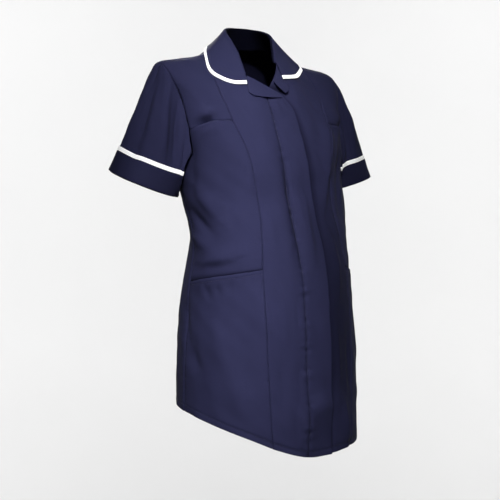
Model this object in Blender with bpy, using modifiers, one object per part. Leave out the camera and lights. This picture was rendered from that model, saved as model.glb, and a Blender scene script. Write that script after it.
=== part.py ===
"""Short-sleeved medical tunic with a maternity front, filled out as if worn.

Metres, +Z up. The front faces -Y and the wearer's left is +X. The origin lies midway between
the shoulders, level with the neck, where the wearer's shoulders hold the garment up.
The tables below give depths forward of the shoulder line, so forward = -y.

Every body panel is a sheet on one form. A point of the form is named by its angle round the
body (0 at the centre front, positive towards the wearer's left) and its climb, which is its
height up to the chest and, above that, the distance along an arc that rises over the shoulders.
"""
import math

import bpy
import numpy as np

OBJECT_NAME = "medical_tunic"

# Cloth
WALL = 0.0012
COLLAR_WALL = 0.0015
SEAM_GAP = 0.0004
LAYER_GAP = 0.0004

# Body sections, from the hem up
BODY_COLUMNS = ("height", "half_width", "front", "back", "centre")
BODY_SECTIONS = (
    (-0.780, 0.1780, 0.199, 0.098, 0.050),
    (-0.640, 0.1770, 0.198, 0.096, 0.050),
    (-0.540, 0.1755, 0.195, 0.094, 0.050),
    (-0.475, 0.1700, 0.191, 0.091, 0.049),
    (-0.430, 0.1665, 0.186, 0.082, 0.050),
    (-0.385, 0.1610, 0.179, 0.070, 0.053),
    (-0.340, 0.1620, 0.165, 0.052, 0.057),
    (-0.300, 0.1670, 0.151, 0.054, 0.050),
    (-0.262, 0.1730, 0.140, 0.064, 0.040),
    (-0.215, 0.1780, 0.135, 0.080, 0.028),
    (-0.170, 0.1830, 0.132, 0.090, 0.020),
    (-0.130, 0.1870, 0.124, 0.092, 0.012),
    (-0.090, 0.1930, 0.110, 0.088, 0.004),
    (-0.050, 0.2080, 0.096, 0.080, -0.004),
    (0.000, 0.2200, 0.085, 0.074, -0.010),
    (0.060, 0.2200, 0.080, 0.068, -0.010),
)
SECTION_SQUARENESS = 2.06

# Shoulder ridge, from the middle of the neck to beyond the shoulder point
RIDGE_COLUMNS = ("out", "height")
RIDGE = (
    (0.000, 0.024),
    (0.030, 0.0195),
    (0.060, 0.0135),
    (0.080, 0.001),
    (0.110, -0.0115),
    (0.150, -0.0180),
    (0.200, -0.0260),
    (0.250, -0.0420),
)
RIDGE_FORWARD = -0.020
RIDGE_FRONT_RADIUS = 0.050
RIDGE_BACK_RADIUS = 0.085
RIDGE_BLEND = 0.018
TUBE_SCALE = 0.13

# Above the chest level the form's rays spread from one point
CHEST_LEVEL = -0.170
CLIMB_RADIUS = 0.170
REACH = 0.60
HALVINGS = 40
NORMAL_STEP = 0.0015
FOLD_END_SHARE = 0.35

# Hem height round the body, in degrees from the centre front
HEM_COLUMNS = ("angle", "height")
HEM = (
    (-180.0, -0.643),
    (-150.0, -0.642),
    (-120.0, -0.6435),
    (-104.0, -0.6500),
    (-88.0, -0.6575),
    (-73.0, -0.6705),
    (-52.0, -0.6920),
    (-32.0, -0.7150),
    (-12.0, -0.7300),
    (8.0, -0.7305),
    (30.0, -0.7245),
    (58.0, -0.7185),
    (74.0, -0.702),
    (90.0, -0.676),
    (106.0, -0.657),
    (130.0, -0.645),
    (180.0, -0.643),
)

# Princess seam: distance out from the centre front, and height
SEAM_COLUMNS = ("out", "height")
PRINCESS = (
    (0.092, -0.720),
    (0.096, -0.640),
    (0.099, -0.540),
    (0.099, -0.450),
    (0.098, -0.397),
    (0.093, -0.345),
    (0.0885, -0.300),
    (0.090, -0.240),
    (0.0965, -0.190),
    (0.1085, -0.145),
    (0.1155, -0.105),
    (0.1195, -0.072),
    (0.1170, -0.045),
)
PRINCESS_MOUTH = -0.397
PRINCESS_UNDERARM = -0.232
PRINCESS_BUST = -0.132
PRINCESS_ROLL = -0.100
PRINCESS_SHOULDER = (0.108, -0.008, -0.013)

# Guide points of seams: out, forward and height, each moved onto the form
SIDE_SEAM_ANGLE = math.radians(96.0)
SIDE_MOUTH = -0.421
UNDERARM = (0.1760, 0.009, -0.215)
FRONT_ARMHOLE_LOW = (
    UNDERARM,
    (0.1765, 0.037, -0.199),
    (0.1750, 0.052, -0.176),
    (0.1745, 0.049, -0.150),
)
SHOULDER_POINT = (0.1995, -0.005, -0.029)
FRONT_ARMHOLE_HIGH = (
    (0.1745, 0.049, -0.150),
    (0.1770, 0.040, -0.115),
    (0.1820, 0.032, -0.085),
    (0.1910, 0.021, -0.058),
    SHOULDER_POINT,
)
BACK_ARMHOLE = (
    UNDERARM,
    (0.1765, -0.022, -0.196),
    (0.1760, -0.044, -0.160),
    (0.1780, -0.049, -0.115),
    (0.1880, -0.040, -0.070),
    SHOULDER_POINT,
)
NECK_POINT = (0.065, -0.012, 0.010)
SHOULDER_MIDDLE = (0.155, -0.008, -0.021)
BUST_SEAM_MIDDLE = (0.146, 0.074, -0.137)
BACK_NECK = (
    (-0.065, -0.012, 0.010),
    (-0.047, -0.045, 0.014),
    (0.000, -0.061, 0.016),
    (0.047, -0.045, 0.014),
    (0.065, -0.012, 0.010),
)

# Centre front: the right front laps over the left
STITCH_LINE = -0.0275
LAP_EDGE = 0.0275
STITCH_TOP = -0.065
LAP_CURVE = (
    (0.0275, -0.150),
    (0.0268, -0.125),
    (0.0238, -0.106),
    (0.0165, -0.093),
    (0.0085, -0.084),
)
CENTRE_ANGLE = 0.15
UNDERLAP_EDGE = -0.020
UNDERLAP_TOP = -0.078
DIP_START = 0.031
DIP_END = 0.046
DIP_TOP = -0.058
DIP_FADE = 0.010
FLY_RISE = 0.0006

# Roll lines of the lapels, from the lower end up to the collar's end
RIGHT_ROLL = (
    (-0.0275, 0.0700, -0.065),
    (-0.0440, 0.0650, -0.0565),
    (-0.0595, 0.0580, -0.048),
)
RIGHT_NECK = (
    (-0.0595, 0.0580, -0.048),
    (-0.0660, 0.0400, -0.026),
    (-0.0680, 0.0150, -0.004),
    (-0.065, -0.012, 0.010),
)
LEFT_ROLL = (
    (-0.0200, 0.0760, -0.078),
    (-0.0120, 0.0720, -0.068),
    (0.0040, 0.0630, -0.052),
    (0.0157, 0.0550, -0.037),
    (0.0250, 0.0450, -0.022),
)
LEFT_NECK = (
    (0.0250, 0.0450, -0.022),
    (0.0400, 0.0330, -0.012),
    (0.0560, 0.0130, 0.000),
    (0.065, -0.012, 0.010),
)

# Lapels: out and height of the roll line, of a place part way across and of the outer edge
LAPEL_COLUMNS = (
    "roll_out", "roll_height", "middle_out", "middle_height", "edge_out", "edge_height",
)
RIGHT_LAPEL = (
    (-0.0580, -0.0500, -0.0622, -0.0700, -0.0655, -0.0810),
    (-0.0450, -0.0565, -0.0520, -0.0740, -0.0565, -0.0868),
    (-0.0200, -0.0695, -0.0250, -0.0810, -0.0290, -0.0893),
    (0.0065, -0.0832, 0.0052, -0.0855, 0.0040, -0.0880),
)
LEFT_LAPEL = (
    (0.0185, -0.0320, 0.0203, -0.0585, 0.0298, -0.0645),
    (0.0115, -0.0410, 0.0175, -0.0625, 0.0292, -0.0698),
    (0.0045, -0.0505, 0.0120, -0.0665, 0.0248, -0.0745),
    (-0.0030, -0.0600, 0.0060, -0.0705, 0.0170, -0.0785),
)
LAPEL_RISE = WALL + FLY_RISE + LAYER_GAP

# Collar: share of the way along the neckline, roll line and outer edge
COLLAR_COLUMNS = (
    "share", "roll_out", "roll_forward", "roll_height", "edge_out", "edge_forward", "edge_height",
)
COLLAR = (
    (0.00, -0.0595, 0.0590, -0.0450, -0.0640, 0.0690, -0.0660),
    (0.06, -0.0580, 0.0450, -0.0260, -0.0880, 0.0600, -0.0665),
    (0.13, -0.0560, 0.0300, -0.0040, -0.1060, 0.0480, -0.0625),
    (0.21, -0.0530, 0.0090, 0.0170, -0.1180, 0.0340, -0.0505),
    (0.30, -0.0480, -0.0140, 0.0350, -0.1080, 0.0030, -0.0165),
    (0.38, -0.0340, -0.0340, 0.0450, -0.0700, -0.0425, 0.0010),
    (0.44, -0.0180, -0.0445, 0.0490, -0.0400, -0.0670, -0.0120),
    (0.50, 0.0000, -0.0480, 0.0500, 0.0000, -0.0750, -0.0200),
    (0.56, 0.0180, -0.0445, 0.0500, 0.0400, -0.0670, -0.0120),
    (0.62, 0.0330, -0.0340, 0.0480, 0.0700, -0.0425, 0.0010),
    (0.70, 0.0410, -0.0080, 0.0420, 0.1080, 0.0030, -0.0165),
    (0.79, 0.0410, 0.0130, 0.0310, 0.1080, 0.0200, -0.0270),
    (0.87, 0.0340, 0.0280, 0.0090, 0.0950, 0.0330, -0.0360),
    (0.94, 0.0290, 0.0380, -0.0080, 0.0600, 0.0580, -0.0500),
    (1.00, 0.0245, 0.0460, -0.0200, 0.0230, 0.0650, -0.0540),
)
COLLAR_RISE = WALL + 0.0014
COLLAR_BLEND = 0.006
COLLAR_FOLD = 0.0045
COLLAR_ARCH = -0.0015
TRIM_WIDTH = 0.0075
NECK_CLEARANCE = 0.0010
NECKLINE_SAMPLES = 5
ARCH_WIDTH = 0.08
ARCH_FORWARD = 0.02
ARCH_RISE = 0.05
FOLD_WIDTH_LIMIT = 0.45
FOLD_REACH = 1.2
FOLD_HEIGHT = 0.55

# Sleeves: cuff ring centre and half axes, and the runs of the cloth at both ends
CUFF_CENTRE = (0.2355, -0.011, -0.2447)
CUFF_OUTER = (0.0635, 0.000, 0.0175)
CUFF_FRONT_RIGHT = (0.0040, 0.0550, -0.0160)
CUFF_FRONT_LEFT = (0.0040, 0.0550, 0.0050)
SLEEVE_START_COLUMNS = ("angle", "out", "forward", "up")
SLEEVE_START = (
    (0.0, 0.028, 0.000, -0.041),
    (90.0, 0.070, 0.016, -0.080),
    (180.0, 0.045, 0.000, -0.032),
    (270.0, 0.070, -0.016, -0.080),
    (360.0, 0.028, 0.000, -0.041),
)
SLEEVE_END = (0.095, 0.0, -0.150)
CUFF_DEPTH = 0.040
CUFF_ROWS = 3
TRIM_FOOT = CUFF_DEPTH + 2.0 * SEAM_GAP
TRIM_TOP = TRIM_FOOT + TRIM_WIDTH
CUFF_RISE = WALL + 2.0 * LAYER_GAP
SLEEVE_SAMPLES = 60
SLEEVE_STEP = 0.004
SLEEVE_SEAM_SHARE = 0.006
SLEEVE_FOLD_FADE = 0.07

# Largest folds of the body: two ends (out, forward, height), half width and depth
FOLD_COLUMNS = (
    "from_out", "from_forward", "from_height", "to_out", "to_forward", "to_height", "width", "depth",
)
FOLDS = (
    (-0.172, 0.060, -0.240, -0.155, 0.095, -0.345, 0.017, -0.0050),
    (-0.168, 0.050, -0.320, -0.165, 0.052, -0.385, 0.016, 0.0030),
    (-0.166, 0.058, -0.131, -0.130, 0.080, -0.120, 0.0085, -0.0030),
    (-0.166, 0.078, -0.185, -0.160, 0.085, -0.245, 0.012, -0.0030),
    (-0.035, 0.128, -0.235, -0.034, 0.176, -0.400, 0.0075, -0.0020),
    (0.056, 0.110, -0.175, 0.066, 0.140, -0.290, 0.013, -0.0045),
    (0.085, 0.110, -0.200, 0.098, 0.130, -0.310, 0.012, 0.0030),
    (0.000, 0.190, -0.630, 0.004, 0.195, -0.715, 0.014, -0.0030),
    (0.055, 0.180, -0.620, 0.060, 0.185, -0.720, 0.015, 0.0030),
    (0.128, 0.120, -0.600, 0.150, 0.110, -0.690, 0.014, -0.0045),
    (0.168, 0.060, -0.240, 0.158, 0.088, -0.345, 0.017, -0.0045),
    (0.168, 0.050, -0.320, 0.165, 0.052, -0.385, 0.016, 0.0025),
    (-0.130, -0.030, -0.235, -0.060, -0.060, -0.330, 0.018, -0.0045),
    (-0.150, -0.010, -0.330, -0.070, -0.055, -0.365, 0.014, -0.0040),
    (0.135, -0.028, -0.245, 0.070, -0.058, -0.335, 0.018, -0.0042),
    (0.148, -0.010, -0.340, 0.060, -0.055, -0.372, 0.013, -0.0036),
    (-0.105, -0.060, -0.480, -0.110, -0.070, -0.660, 0.018, -0.0040),
    (-0.035, -0.090, -0.500, -0.030, -0.095, -0.660, 0.022, 0.0030),
    (0.050, -0.085, -0.470, 0.056, -0.090, -0.660, 0.020, -0.0038),
    (0.125, -0.050, -0.500, 0.130, -0.055, -0.665, 0.018, 0.0030),
    (-0.110, -0.070, -0.080, -0.120, -0.060, -0.190, 0.016, -0.0030),
    (0.112, -0.070, -0.085, 0.122, -0.060, -0.200, 0.016, -0.0030),
)

# Folds of the sleeves: degrees round, share of the length, half width in degrees and depth
SLEEVE_FOLD_COLUMNS = ("from_angle", "from_share", "to_angle", "to_share", "width", "depth")
SLEEVE_FOLDS = (
    (78.0, 0.06, 96.0, 0.88, 11.0, -0.0055),
    (112.0, 0.10, 124.0, 0.80, 10.0, 0.0035),
    (140.0, 0.16, 148.0, 0.85, 10.0, -0.0045),
    (38.0, 0.22, 52.0, 0.95, 14.0, 0.0030),
    (14.0, 0.30, 16.0, 0.95, 11.0, -0.0035),
    (232.0, 0.10, 220.0, 0.85, 12.0, -0.0050),
    (268.0, 0.08, 262.0, 0.90, 12.0, 0.0030),
    (300.0, 0.15, 302.0, 0.90, 12.0, -0.0040),
)

# Pocket mouth
POCKET_GAPE = 0.0045
POCKET_FADE = 0.045
TUCK_DEPTH = WALL + 2.0 * LAYER_GAP
TUCK_EASE = 0.25
HIDDEN_MARGIN = 0.016

# Rows and columns of the panels
CURVE_SAMPLES = 40
BACK_ROW_SAG = 0.035
ROWS_TO_MOUTH = 10
ROWS_TO_UNDERARM = 7
ROWS_TO_BUST = 4
ROWS_TO_ROLL = 2
ROWS_TO_GORGE = 2
ROWS_TO_SHOULDER = 5
CENTRE_COLUMNS = 5
LEFT_CENTRE_SHARES = (0.0, 0.17, 0.34, 0.50, 0.59, 0.68, 0.84, 1.0)
FLY_COLUMNS = 4
SIDE_COLUMNS = 8
NECK_COLUMNS = 14
COLLAR_STATIONS = 44
STAND_ROWS = 3
FOLD_ROWS = 3
LAPEL_ROWS = 8
FALL_ROWS = 5
SLEEVE_ROWS = 7

RIGHT = -1.0
LEFT = 1.0

NAVY = (0.029, 0.031, 0.074, 1.0)
WHITE = (0.86, 0.86, 0.84, 1.0)
CLOTH_ROUGHNESS = 0.82


def column(rows, names, name):
    """Return one named column of a table as an array."""
    return np.array([row[names.index(name)] for row in rows], dtype=float)


def smooth_lookup(place, places, values):
    """Read a smooth curve through a table's values at any place."""
    order = np.argsort(places)
    xs = places[order]
    ys = values[order]
    steps = np.diff(xs)
    slopes = np.diff(ys) / steps
    tangents = np.empty_like(ys)
    tangents[0] = slopes[0]
    tangents[-1] = slopes[-1]
    tangents[1:-1] = (slopes[:-1] * steps[1:] + slopes[1:] * steps[:-1]) / (steps[:-1] + steps[1:])
    at = np.clip(place, xs[0], xs[-1])
    index = np.clip(np.searchsorted(xs, at) - 1, 0, len(steps) - 1)
    width = steps[index]
    t = (at - xs[index]) / width
    start = (1 + 2 * t) * (1 - t) ** 2 * ys[index] + t * (1 - t) ** 2 * width * tangents[index]
    end = t * t * (3 - 2 * t) * ys[index + 1] + t * t * (t - 1) * width * tangents[index + 1]
    return start + end


SECTION_HEIGHTS = column(BODY_SECTIONS, BODY_COLUMNS, "height")
SECTION_VALUES = {name: column(BODY_SECTIONS, BODY_COLUMNS, name) for name in BODY_COLUMNS}
RIDGE_OUT = column(RIDGE, RIDGE_COLUMNS, "out")
RIDGE_HEIGHT = column(RIDGE, RIDGE_COLUMNS, "height")


def section(name, height):
    """Return one size of the body's section at a height."""
    return smooth_lookup(height, SECTION_HEIGHTS, SECTION_VALUES[name])


def outside(x, forward, height):
    """Return how far a point lies outside the form; below zero is inside."""
    centre = section("centre", height)
    half_depth = np.where(
        forward > centre,
        section("front", height) - centre,
        section("back", height) + centre,
    )
    across = np.abs(x) / section("half_width", height)
    along = np.abs(forward - centre) / half_depth
    power = SECTION_SQUARENESS
    tube = ((across ** power + along ** power) ** (1.0 / power) - 1.0) * TUBE_SCALE
    away = forward - RIDGE_FORWARD
    radius = np.where(away > 0.0, RIDGE_FRONT_RADIUS, RIDGE_BACK_RADIUS)
    ridge = smooth_lookup(np.abs(x), RIDGE_OUT, RIDGE_HEIGHT)
    roof = height - ridge + away ** 2 / (2.0 * radius)
    overlap = np.clip(RIDGE_BLEND - np.abs(tube - roof), 0.0, None) / RIDGE_BLEND
    return np.maximum(tube, roof) + overlap ** 2 * RIDGE_BLEND / 4.0


def cast(angle, climb):
    """Return the point of the plain form on the ray of each angle and climb."""
    rise = np.clip((climb - CHEST_LEVEL) / CLIMB_RADIUS, 0.0, None)
    level = np.minimum(climb, CHEST_LEVEL)
    start = np.stack([np.zeros_like(climb), section("centre", level), level], axis=-1)
    heading = np.stack(
        [np.sin(angle) * np.cos(rise), np.cos(angle) * np.cos(rise), np.sin(rise)], axis=-1
    )
    near = np.zeros_like(climb)
    far = np.full_like(climb, REACH)
    for _ in range(HALVINGS):
        middle = (near + far) / 2.0
        point = start + heading * middle[..., None]
        out = outside(point[..., 0], point[..., 1], point[..., 2]) > 0.0
        far = np.where(out, middle, far)
        near = np.where(out, near, middle)
    return start + heading * far[..., None]


def place_on_form(guides):
    """Return the angle and climb of guide points given as out, forward and height."""
    guides = np.asarray(guides, dtype=float)
    level = np.minimum(guides[..., 2], CHEST_LEVEL)
    ahead = guides[..., 1] - section("centre", level)
    reach = np.hypot(guides[..., 0], ahead)
    angle = np.arctan2(guides[..., 0], ahead)
    rise = np.arctan2(guides[..., 2] - level, reach)
    return np.stack([angle, level + CLIMB_RADIUS * rise], axis=-1)


def place_on_front(out, height):
    """Return the angle and climb of front points given as out and height."""
    out = np.asarray(out, dtype=float)
    height = np.asarray(height, dtype=float)
    near = section("centre", height)
    far = near + REACH / 2.0
    for _ in range(HALVINGS):
        middle = (near + far) / 2.0
        beyond = outside(out, middle, height) > 0.0
        far = np.where(beyond, middle, far)
        near = np.where(beyond, near, middle)
    return place_on_form(np.stack([out, far, height], axis=-1))


def fold_table(rows):
    """Return the folds' ends on the form, with their widths and depths."""
    starts = place_on_form([row[0:3] for row in rows])
    ends = place_on_form([row[3:6] for row in rows])
    return starts, ends, column(rows, FOLD_COLUMNS, "width"), column(rows, FOLD_COLUMNS, "depth")


def fold_depth(angle, climb):
    """Return how far the folds move the cloth out from the plain form."""
    moved = np.zeros_like(climb)
    for start, end, width, depth in zip(*fold_table(FOLDS)):
        run_angle = end[0] - start[0]
        run_angle = (run_angle + math.pi) % (2.0 * math.pi) - math.pi
        away_angle = (angle - start[0] + math.pi) % (2.0 * math.pi) - math.pi
        run = np.array([run_angle * CLIMB_RADIUS, end[1] - start[1]])
        away = np.stack([away_angle * CLIMB_RADIUS, climb - start[1]], axis=-1)
        share = np.clip(away @ run / (run @ run), 0.0, 1.0)
        distance = np.linalg.norm(away - share[..., None] * run, axis=-1)
        swell = FOLD_END_SHARE + (1.0 - FOLD_END_SHARE) * np.sin(math.pi * share)
        moved += depth * swell * np.exp(-((distance / width) ** 2))
    return moved


def form_points(place, rise):
    """Return points of the cloth at angle and climb, lifted off the form by rise."""
    angle = place[..., 0]
    climb = place[..., 1]
    turn = NORMAL_STEP / CLIMB_RADIUS
    point = cast(angle, climb)
    along = cast(angle + turn, climb) - cast(angle - turn, climb)
    upward = cast(angle, climb + NORMAL_STEP) - cast(angle, climb - NORMAL_STEP)
    normal = np.cross(upward, along)
    normal /= np.linalg.norm(normal, axis=-1)[..., None]
    lift = fold_depth(angle, climb) + rise
    return point + normal * lift[..., None]


def world(points):
    """Turn out, forward and height into x, y and z."""
    return points * np.array([1.0, -1.0, 1.0])


def spline(points, count):
    """Return count + 1 points spaced evenly along a smooth curve through the given points."""
    points = np.asarray(points, dtype=float)
    chords = np.concatenate([[0.0], np.cumsum(np.linalg.norm(np.diff(points, axis=0), axis=1))])
    fine = np.linspace(0.0, chords[-1], CURVE_SAMPLES * len(points))
    curve = np.stack([smooth_lookup(fine, chords, points[:, k]) for k in range(points.shape[1])], -1)
    lengths = np.concatenate([[0.0], np.cumsum(np.linalg.norm(np.diff(curve, axis=0), axis=1))])
    wanted = np.linspace(0.0, lengths[-1], count + 1)
    return np.stack([np.interp(wanted, lengths, curve[:, k]) for k in range(points.shape[1])], -1)


def chain(*curves):
    """Join curves that meet end to end into one."""
    return np.concatenate([curves[0]] + [curve[1:] for curve in curves[1:]])


def patch(left, right, bottom, top, shares=None):
    """Fill four boundary curves with a grid of places, rows from bottom to top."""
    s = np.linspace(0.0, 1.0, len(bottom)) if shares is None else np.asarray(shares)
    t = np.linspace(0.0, 1.0, len(left))
    s = s[None, :, None]
    t = t[:, None, None]
    sides = (1 - s) * left[:, None] + s * right[:, None]
    ends = (1 - t) * bottom[None] + t * top[None]
    corners = (
        (1 - s) * (1 - t) * bottom[0] + s * (1 - t) * bottom[-1]
        + (1 - s) * t * top[0] + s * t * top[-1]
    )
    return sides + ends - corners


def straight(start, end, count):
    """Return evenly spaced places from start to end."""
    share = np.linspace(0.0, 1.0, count + 1)[:, None]
    return (1 - share) * np.asarray(start) + share * np.asarray(end)


def mirrored(places, side):
    """Return places of the wearer's left side for that side or the other."""
    return places * np.array([side, 1.0])


def hem_line(start_angle, end_angle, count):
    """Return the hem's places between two angles."""
    angle = np.linspace(start_angle, end_angle, count + 1)
    height = smooth_lookup(
        np.degrees(angle), column(HEM, HEM_COLUMNS, "angle"), column(HEM, HEM_COLUMNS, "height")
    )
    return np.stack([angle, height], axis=-1)


def hem_height(angle):
    """Return the hem's height at one angle."""
    return hem_line(angle, angle, 1)[0, 1]


def front_curve(table, low, high, count, side):
    """Return a front seam between two heights, from a table of out and height."""
    heights = np.linspace(low, high, count + 1)
    outs = smooth_lookup(
        heights, column(table, SEAM_COLUMNS, "height"), column(table, SEAM_COLUMNS, "out")
    )
    return place_on_front(outs * side, heights)


def princess_hem(side):
    """Return the height where the princess seam meets the hem."""
    angle = place_on_front(PRINCESS[0][0] * side, PRINCESS[0][1])[0]
    return hem_height(float(angle))


def princess_seam(side):
    """Return the princess seam from the hem to the shoulder."""
    top = place_on_front(PRINCESS[-1][0] * side, PRINCESS[-1][1])
    shoulder = mirrored(place_on_form(PRINCESS_SHOULDER), side)
    low = chain(
        front_curve(PRINCESS, princess_hem(side), PRINCESS_MOUTH, ROWS_TO_MOUTH, side),
        front_curve(PRINCESS, PRINCESS_MOUTH, PRINCESS_UNDERARM, ROWS_TO_UNDERARM, side),
        front_curve(PRINCESS, PRINCESS_UNDERARM, PRINCESS_BUST, ROWS_TO_BUST, side),
        front_curve(PRINCESS, PRINCESS_BUST, PRINCESS_ROLL, ROWS_TO_ROLL, side),
    )
    middle = place_on_front(PRINCESS[-2][0] * side, PRINCESS[-2][1])
    high = spline([low[-1], middle, top, shoulder], ROWS_TO_GORGE + ROWS_TO_SHOULDER)
    return chain(low, high)


MOUTH_ROW = ROWS_TO_MOUTH
UNDERARM_ROW = MOUTH_ROW + ROWS_TO_UNDERARM
BUST_ROW = UNDERARM_ROW + ROWS_TO_BUST
ROLL_ROW = BUST_ROW + ROWS_TO_ROLL
ROWS_FROM_BUST = ROWS_TO_ROLL + ROWS_TO_GORGE + ROWS_TO_SHOULDER


def side_seam(side):
    """Return the side seam from the hem to the underarm."""
    angle = SIDE_SEAM_ANGLE * side
    mouth = (angle, SIDE_MOUTH)
    underarm = mirrored(place_on_form(UNDERARM), side)
    return chain(
        straight((angle, hem_height(angle)), mouth, ROWS_TO_MOUTH),
        straight(mouth, underarm, ROWS_TO_UNDERARM),
    )


def front_armhole(side):
    """Return the front armhole from the underarm to the shoulder point."""
    low = spline(place_on_form(FRONT_ARMHOLE_LOW), ROWS_TO_BUST)
    high = spline(place_on_form(FRONT_ARMHOLE_HIGH), ROWS_FROM_BUST)
    return mirrored(chain(low, high), side)


def back_armhole(side):
    """Return the back armhole from the underarm to the shoulder point."""
    return mirrored(spline(place_on_form(BACK_ARMHOLE), ROWS_TO_BUST + ROWS_FROM_BUST), side)


def shoulder_seam(side):
    """Return the shoulder seam in two parts, neck to princess seam and on to the shoulder point."""
    inner = straight(place_on_form(NECK_POINT), place_on_form(PRINCESS_SHOULDER), CENTRE_COLUMNS)
    outer = spline(
        place_on_form([PRINCESS_SHOULDER, SHOULDER_MIDDLE, SHOULDER_POINT]), SIDE_COLUMNS
    )
    return mirrored(inner, side), mirrored(outer, side)


def bust_seam(side):
    """Return the bust seam from the princess seam to the armhole."""
    inner = princess_seam(side)[BUST_ROW]
    outer = front_armhole(side)[ROWS_TO_BUST]
    middle = mirrored(place_on_form(BUST_SEAM_MIDDLE), side)
    return spline([inner, middle, outer], SIDE_COLUMNS)


def part_seams(points, closed):
    """Draw a grid's edges back by half the seam gap, so neighbours stay apart."""
    shifted = points.copy()
    half = SEAM_GAP / 2.0
    for edge, inner in ((0, 1), (-1, -2)):
        run = points[inner] - points[edge]
        shifted[edge] += half * run / np.linalg.norm(run, axis=-1)[..., None]
        if not closed:
            run = points[:, inner] - points[:, edge]
            shifted[:, edge] += half * run / np.linalg.norm(run, axis=-1)[..., None]
    return shifted


def make_material(name, colour):
    """Return a cloth material of its own for one sub-part."""
    material = bpy.data.materials.new("cloth_" + name)
    material.use_nodes = True
    shader = material.node_tree.nodes["Principled BSDF"]
    shader.inputs["Base Color"].default_value = colour
    shader.inputs["Roughness"].default_value = CLOTH_ROUGHNESS
    shader.inputs["Metallic"].default_value = 0.0
    return material


def add_cloth(name, points, colour=NAVY, wall=WALL, closed=False, turned=False):
    """Add one sub-part: a sheet through a grid of points, made a wall of cloth outwards."""
    rows, columns = points.shape[:2]
    vertices = world(points.reshape(-1, 3))
    faces = []
    for row in range(rows - 1):
        for place in range(columns if closed else columns - 1):
            beside = (place + 1) % columns
            corners = [
                row * columns + place,
                row * columns + beside,
                (row + 1) * columns + beside,
                (row + 1) * columns + place,
            ]
            faces.append(corners[::-1] if turned else corners)
    mesh = bpy.data.meshes.new(name)
    mesh.from_pydata([tuple(v) for v in vertices], [], faces)
    mesh.update()
    mesh.shade_smooth()
    mesh.materials.append(make_material(name, colour))
    piece = bpy.data.objects.new(name, mesh)
    collection.objects.link(piece)
    solidify = piece.modifiers.new("wall", "SOLIDIFY")
    solidify.thickness = wall
    solidify.offset = 1.0
    solidify.use_quality_normals = True
    return piece


def add_panel(name, places, rise=0.0, side=LEFT):
    """Add a body panel from its grid of places on the form."""
    rises = np.broadcast_to(np.asarray(rise, dtype=float), places.shape[:2])
    points = part_seams(form_points(places, rises), closed=False)
    return add_cloth(name, points, turned=side < 0)


def side_name(base, side):
    """Return a sub-part's name with its side."""
    return base + ("_left" if side > 0 else "_right")


def build_front_centre_right():
    """Build the right centre front, princess seam to the fly's stitch line and neckline."""
    princess = princess_seam(RIGHT)
    stitch = stitch_line()
    roll = spline(place_on_form(RIGHT_ROLL), ROWS_TO_GORGE)
    neck = spline(place_on_form(RIGHT_NECK), ROWS_TO_SHOULDER)
    inner = chain(stitch, roll, neck)
    bottom = hem_line(inner[0, 0], princess[0, 0], CENTRE_COLUMNS)
    top = shoulder_seam(RIGHT)[0]
    add_panel("front_centre_right", patch(inner, princess, bottom, top), side=RIGHT)


def stitch_line():
    """Return the fly's stitch line from the hem to the lapel's roll line."""
    heights = np.linspace(hem_height(-CENTRE_ANGLE), STITCH_TOP, ROLL_ROW + 1)
    line = place_on_front(np.full_like(heights, STITCH_LINE), heights)
    line[0, 1] = hem_height(line[0, 0])
    return line


def lap_edge():
    """Return the visible edge of the right front from the hem to the lapel's lower end."""
    low = hem_height(CENTRE_ANGLE)
    heights = np.linspace(low, LAP_CURVE[-1][1], ROLL_ROW + 1)
    outs = smooth_lookup(
        heights,
        np.append(low, column(LAP_CURVE, SEAM_COLUMNS, "height")),
        np.append(LAP_EDGE, column(LAP_CURVE, SEAM_COLUMNS, "out")),
    )
    line = place_on_front(outs, heights)
    line[0, 1] = hem_height(line[0, 0])
    return line


def build_front_placket():
    """Build the fly band over the concealed fastening."""
    inner = stitch_line()
    outer = lap_edge()
    bottom = hem_line(inner[0, 0], outer[0, 0], FLY_COLUMNS)
    top = straight(inner[-1], outer[-1], FLY_COLUMNS)
    places = patch(inner, outer, bottom, top)
    rise = np.linspace(0.0, FLY_RISE, FLY_COLUMNS + 1)[None, :]
    add_panel("front_placket", places, rise)


def build_front_centre_left():
    """Build the left centre front, which passes under the fly band."""
    princess = princess_seam(LEFT)
    heights = np.linspace(hem_height(-CENTRE_ANGLE), UNDERLAP_TOP, ROLL_ROW + 1)
    edge = place_on_front(np.full_like(heights, UNDERLAP_EDGE), heights)
    edge[0, 1] = hem_height(edge[0, 0])
    roll = spline(place_on_form(LEFT_ROLL), ROWS_TO_GORGE)
    roll[0] = edge[-1]
    neck = spline(place_on_form(LEFT_NECK), ROWS_TO_SHOULDER)
    inner = chain(edge, roll, neck)
    shares = np.array(LEFT_CENTRE_SHARES)
    hem_angles = inner[0, 0] + shares * (princess[0, 0] - inner[0, 0])
    bottom = np.stack([hem_angles, [hem_height(a) for a in hem_angles]], axis=-1)
    seam = shoulder_seam(LEFT)[0]
    seam_shares = np.linspace(0.0, 1.0, len(seam))
    top = np.stack([np.interp(shares, seam_shares, seam[:, k]) for k in range(2)], axis=-1)
    places = patch(inner, princess, bottom, top, shares)
    points = form_points(places, np.zeros(places.shape[:2]))
    ramp = np.clip((DIP_END - points[..., 0]) / (DIP_END - DIP_START), 0.0, 1.0)
    below = np.clip((DIP_TOP - points[..., 2]) / DIP_FADE, 0.0, 1.0)
    add_panel("front_centre_left", places, -TUCK_DEPTH * ramp * below)


def build_yoke(side):
    """Build the upper side front, from the bust seam to the shoulder."""
    princess = princess_seam(side)[BUST_ROW:]
    armhole = front_armhole(side)[ROWS_TO_BUST:]
    places = patch(princess, armhole, bust_seam(side), shoulder_seam(side)[1])
    add_panel(side_name("front_yoke", side), places, side=side)


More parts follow.
